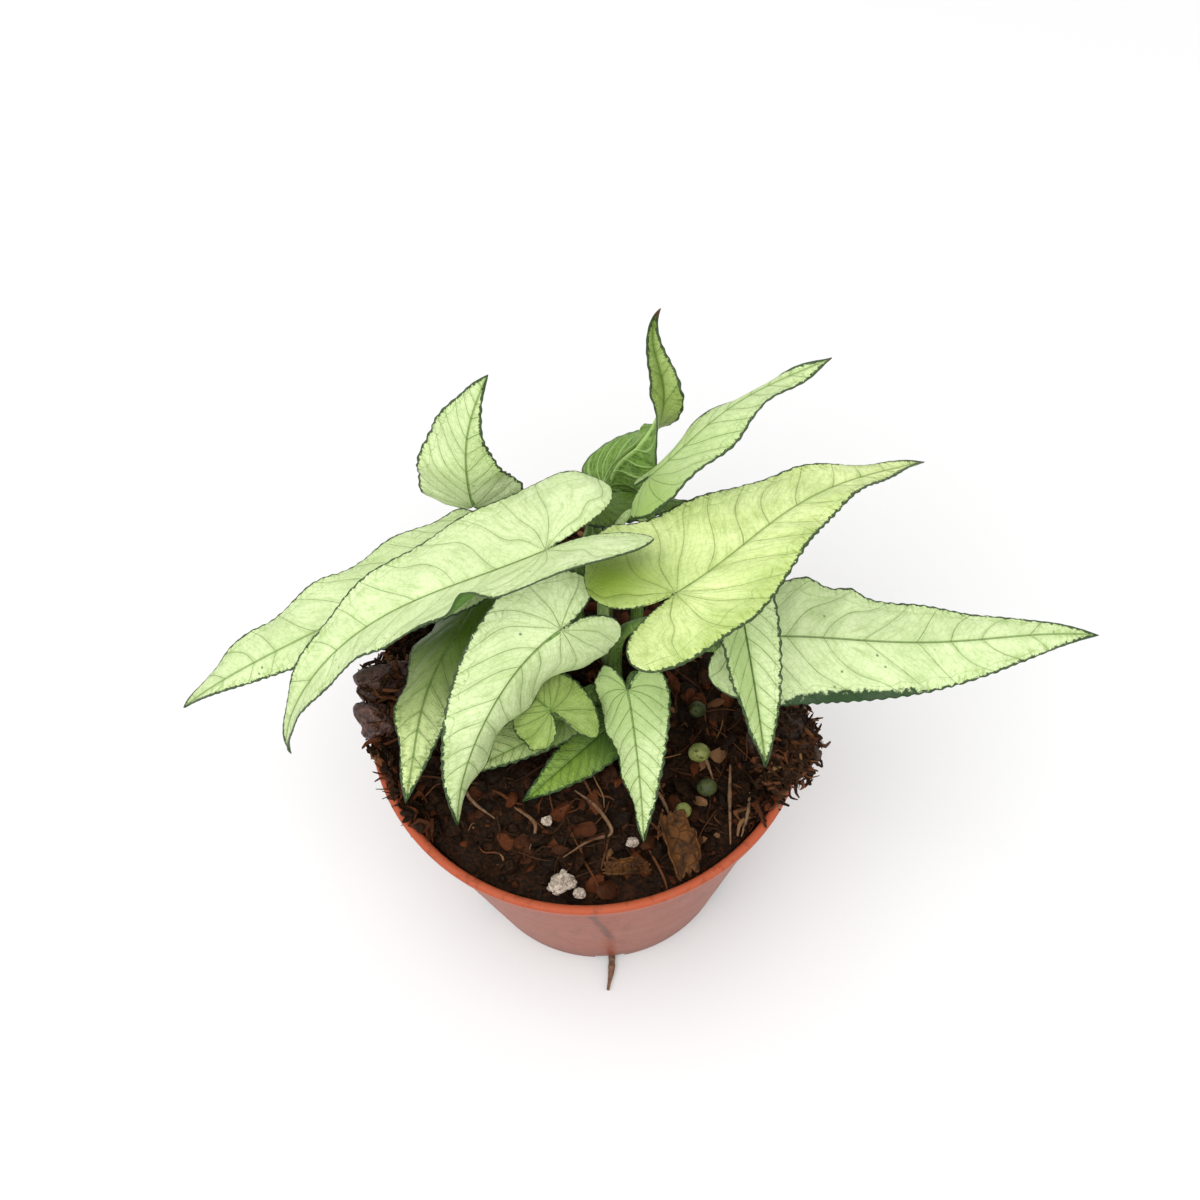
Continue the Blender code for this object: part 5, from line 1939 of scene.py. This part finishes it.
@dataclass(frozen=True)
class Litter:
    """Loose bits caught along the rim and on the coir: chips and shreds in heaps, and single straws."""

    soil: Soil
    seed: int = 21
    chip_shapes: tuple[float, ...] = (0.8, 0.55, 0.4, 0.3)
    chip_share: float = 0.4
    rim_from: float = 42.5
    heap: float = 1.6
    # Each heap: first and last angle in degrees, inner and outer reach in mm, number of bits.
    arcs: tuple[tuple[float, float, float, float, int], ...] = (
        (140.0, 218.0, 40.5, 45.0, 300), (-44.0, 12.0, 39.5, 44.9, 300), (55.0, 125.0, 39.0, 43.0, 170))
    # Each patch of shreds: centre and radii in mm, number of shreds.
    shred_places: tuple[tuple[Point, Point, int], ...] = (
        ((38.5, -12.5, 76.5), (5.5, 7.5, 2.4), 150), ((37.5, -20.0, 75.5), (5.0, 4.5, 2.0), 90),
        ((43.6, -13.0, 73.0), (1.4, 5.0, 4.0), 36), ((-41.5, 3.5, 75.5), (4.0, 8.5, 2.0), 60))
    straw_radius: float = 0.26
    straw_steps: int = 26
    # Places of each straw: x, y and height over the soil.
    straws: tuple[tuple[Point, ...], ...] = (
        ((27.5, -16.7, 2.4), (26.6, -24.0, 3.0), (25.9, -32.4, 1.6)),
        ((30.8, -22.5, 1.6), (29.8, -27.0, 2.4), (28.2, -31.1, 1.8)),
        ((-3.8, -20.1, 1.4), (0.2, -24.0, 2.2), (2.9, -29.1, 1.4), (-1.5, -30.2, 1.8), (-6.9, -32.8, 1.0)),
        ((19.9, -12.6, 1.6), (22.5, -15.5, 3.4), (24.0, -20.0, 1.4)),
        ((33.5, -5.0, 2.5), (38.0, -14.0, 4.5), (37.0, -24.0, 3.2), (33.0, -30.0, 2.0)),
        ((-16.0, -22.0, 1.3), (-12.0, -26.5, 2.0), (-13.5, -31.0, 1.2)),
        ((8.0, -19.5, 1.2), (12.5, -22.0, 2.4), (15.0, -27.5, 1.3)),
        ((-27.0, -14.0, 1.4), (-24.5, -20.0, 2.3), (-20.0, -24.0, 1.2)))

    def build_heaps(self) -> None:
        """Heap chips and shreds along the rim."""
        rng = random.Random(self.seed)
        chips = [self.soil.chunk(rng, flat) for flat in self.chip_shapes]
        strands = [self.soil.strand(rng) for _ in range(6)]
        copies = []
        for first, last, inner, outer, count in self.arcs:
            for _ in range(count):
                angle = math.radians(rng.uniform(first, last))
                fade = math.sin(math.pi * (math.degrees(angle) - first) / (last - first)) ** 0.5
                reach = rng.uniform(inner, inner + (outer - inner) * (0.3 + 0.7 * fade))
                x, y = reach * math.cos(angle), reach * math.sin(angle)
                over_rim = reach > self.rim_from
                ground = max(soil_height(x, y), POT_HEIGHT + 0.1) if over_rim else soil_height(x, y) + 1.0
                z = ground + rng.uniform(0.0, self.heap) * fade
                lean, dip = rng.uniform(-0.7, 0.7), rng.uniform(-0.35, 0.35)
                turn = (lean, dip, angle + math.pi / 2 + rng.gauss(0, 0.7))
                if rng.random() < self.chip_share:
                    size = 0.4 + 1.3 * rng.random() ** 2
                    models, sizes = chips, (size * 1.7, size, size)
                else:
                    long, thick = rng.uniform(0.25, 0.75), rng.uniform(0.5, 1.8)
                    models, sizes = strands, (long, thick, thick)
                copies.append((rng.choice(models), placed((x, y, z), turn, sizes), rng.random()))
        heaps = scatter("rim_litter", copies, self.soil.crumb, 35.0)
        report(heaps, "soil")

    def build_shreds(self) -> None:
        """Lay shreds over the coir and the bark."""
        rng = random.Random(self.seed + 1)
        strands = [self.soil.strand(rng) for _ in range(8)]
        copies = []
        for centre, radii, count in self.shred_places:
            for _ in range(count):
                normal = Vector((rng.gauss(0, 1), rng.gauss(0, 1), abs(rng.gauss(0, 1)))).normalized()
                place = [c + r * n for c, r, n in zip(centre, radii, normal)]
                turn = (rng.uniform(0, ANY_TURN), rng.gauss(0, 0.35), rng.uniform(0, ANY_TURN))
                long, thick = rng.uniform(0.2, 0.6), rng.uniform(0.5, 1.7)
                copies.append((rng.choice(strands), placed(place, turn, (long, thick, thick)), rng.random()))
        shreds = scatter("coir_shreds", copies, self.soil.fibre, 60.0)
        report(shreds, "fibre")

    def build_straws(self) -> None:
        """Lay single straws and fine roots on the soil, each along its own places."""
        straws = []
        for index, points in enumerate(self.straws):
            route = smooth_route([(x, y, soil_height(x, y) + lift) for x, y, lift in points], self.straw_steps)
            radii = [self.straw_radius * (0.5 + math.sin(math.pi * min(1.0, (i + 2) / (self.straw_steps + 2))))
                     for i in range(self.straw_steps + 1)]
            straws.append(tube(f"straw_{index}", route, radii, sides=1))
        piece = rename(join(straws), "straws_and_roots")
        displace(piece, 0.05 * rough(points_of(piece), 1.1, 5.0, 2))
        settle(piece)
        dress(piece, STRAW)
        report(piece, "fibre")


@dataclass(frozen=True)
class DryLeaf:
    """Curled piece of dead leaf: a thin ragged sheet."""

    name: str
    node: str
    centre: Point
    length: float
    width: float
    curl: float
    turn: float
    lean: float
    cells: int = 48
    thickness: float = 0.3
    raggedness: float = 0.25
    wrinkle: float = 0.35
    finish: DryLeafFinish = DryLeafFinish()

    def build(self) -> None:
        """Curl, wrinkle, thicken and report the sheet."""
        deselect_all()
        bpy.ops.mesh.primitive_grid_add(x_subdivisions=self.cells, y_subdivisions=self.cells, size=1.0)
        sheet = bpy.context.object
        grid = points_of(sheet) * MM
        s, t = grid[:, 0], grid[:, 1]
        flat = np.stack([s * 6, t * 6, np.full_like(s, self.length)], axis=1)
        ragged = 1.0 + self.raggedness * np.array([noise.noise(Vector(row)) for row in flat.tolist()])
        ragged += 0.06 * rough(flat, 1.3, 4.0, 3)
        narrow = np.sqrt(np.cos(t * 2.6))
        radius = self.width / math.radians(self.curl)
        angle = math.radians(self.curl) * s * ragged * narrow
        crease = self.wrinkle * rough(flat, 0.7, 9.0, 3)
        places = np.stack([(radius + crease) * np.sin(angle), self.length * t * ragged,
                           radius - (radius + crease) * np.cos(angle)], axis=1)
        set_points(sheet, places)
        apply_modifier(sheet, "SOLIDIFY", thickness=self.thickness * MM, offset=0.0)
        sheet.location = Vector(self.centre) * MM
        sheet.rotation_euler = (math.radians(self.lean), math.radians(self.lean / 2), math.radians(self.turn))
        settle(sheet)
        rename(sheet, self.name)
        shade_smooth(sheet, 60.0)
        dress(sheet, self.finish)
        report(sheet, "dry_leaf", self.node)


DRY_LEAVES = [
    DryLeaf("right_dry_leaf", "dry_leaf_1", (15.5, -33.5, 74.6), length=12.0, width=8.5, curl=150.0, turn=20.0,
            lean=24.0),
    DryLeaf("front_dry_leaf", "dry_leaf_2", (5.4, -37.0, 72.6), length=9.0, width=4.6, curl=170.0, turn=100.0,
            lean=18.0),
]


@dataclass(frozen=True)
class Root:
    """Brown root that leaves the front slot and lies on the surface."""

    radius: float = 0.8
    tip: float = 0.4
    taper_share: float = 0.28
    knobs: float = 0.14
    points: tuple[Point, ...] = ((-1, -39, 0.85), (0, -35, 0.9), (0.4, -32, 0.9), (0.5, -29.6, 1.4),
                                 (0.5, -28.6, 3.5), (0.5, -28.6, 9))
    steps: int = 60

    def build(self) -> None:
        """Make the knobbly root and report it."""
        route = smooth_route(self.points, self.steps)
        radii = []
        for index, place in enumerate(route):
            taper = self.tip + (1 - self.tip) * min(1.0, index / (self.steps * self.taper_share))
            radii.append(self.radius * taper * (1 + self.knobs * noise.noise(Vector(place) * 0.9)))
        root = tube("bottom_root", route, radii, sides=4)
        displace(root, 0.06 * rough(points_of(root), 1.6, 2.0, 3))
        dress(root, ROOT_BARK)
        settle(root)
        report(root, "root", "root")


# Studio


@dataclass(frozen=True)
class Studio:
    """Camera at the photograph's angle, pale floor and soft light."""

    lens: float = 43.5
    sensor: float = 36.0
    camera_place: Point = (4.0, -138.0, 338.0)
    down: float = 58.6
    roll: float = -4.3
    floor_size: float = 6000.0
    sky: float = 1.1
    key: float = 9.0
    key_place: Point = (-160.0, -380.0, 860.0)
    key_size: float = 1100.0
    key_aim: Point = (0.0, 0.0, 90.0)

    def build(self) -> None:
        """Add the floor, the lights and the camera."""
        scene = bpy.context.scene
        scene.view_settings.view_transform = "Standard"
        deselect_all()
        bpy.ops.mesh.primitive_plane_add(size=self.floor_size * MM, location=(0, 0, 0))
        floor = rename(settle(bpy.context.object), "floor")
        dress(floor, FloorFinish())
        world = bpy.data.worlds.new("soft_studio")
        world.use_nodes = True
        background = world.node_tree.nodes["Background"]
        background.inputs["Color"].default_value = (1.0, 1.0, 1.0, 1.0)
        background.inputs["Strength"].default_value = self.sky
        scene.world = world
        bpy.ops.object.light_add(type="AREA", location=Vector(self.key_place) * MM)
        light = bpy.context.object
        light.name = "key_light"
        light.data.size = self.key_size * MM
        light.data.energy = self.key
        aim = Vector(self.key_aim) - Vector(self.key_place)
        light.rotation_euler = aim.to_track_quat("-Z", "Y").to_euler()
        self.add_camera()

    def add_camera(self) -> None:
        """Add the camera that looks down at the plant's front."""
        down, roll = math.radians(self.down), math.radians(self.roll)
        forward = Vector((0, math.cos(down), -math.sin(down)))
        level, upright = Vector((1, 0, 0)), Vector((0, math.sin(down), math.cos(down)))
        right = level * math.cos(roll) + upright * math.sin(roll)
        up = upright * math.cos(roll) - level * math.sin(roll)
        bpy.ops.object.camera_add(location=Vector(self.camera_place) * MM)
        camera = bpy.context.object
        camera.data.lens = self.lens
        camera.data.sensor_width = self.sensor
        camera.data.clip_start = 0.01
        camera.rotation_euler = Matrix((right, up, -forward)).transposed().to_euler()
        bpy.context.scene.camera = camera


def main() -> None:
    """Build every piece of the plant, its pot and the studio, in order."""
    Studio().build()
    Pot().build()
    soil = Soil()
    soil.build_bed()
    soil.build_crumbs()
    soil.build_fibres()
    litter = Litter(soil)
    litter.build_heaps()
    litter.build_shreds()
    litter.build_straws()
    for leaf in LEAVES:
        leaf.build()
    Shoot().build()
    for clump in CLUMPS:
        clump.build()
    for dry_leaf in DRY_LEAVES:
        dry_leaf.build()
    Root().build()


if __name__ == "__main__":
    main()
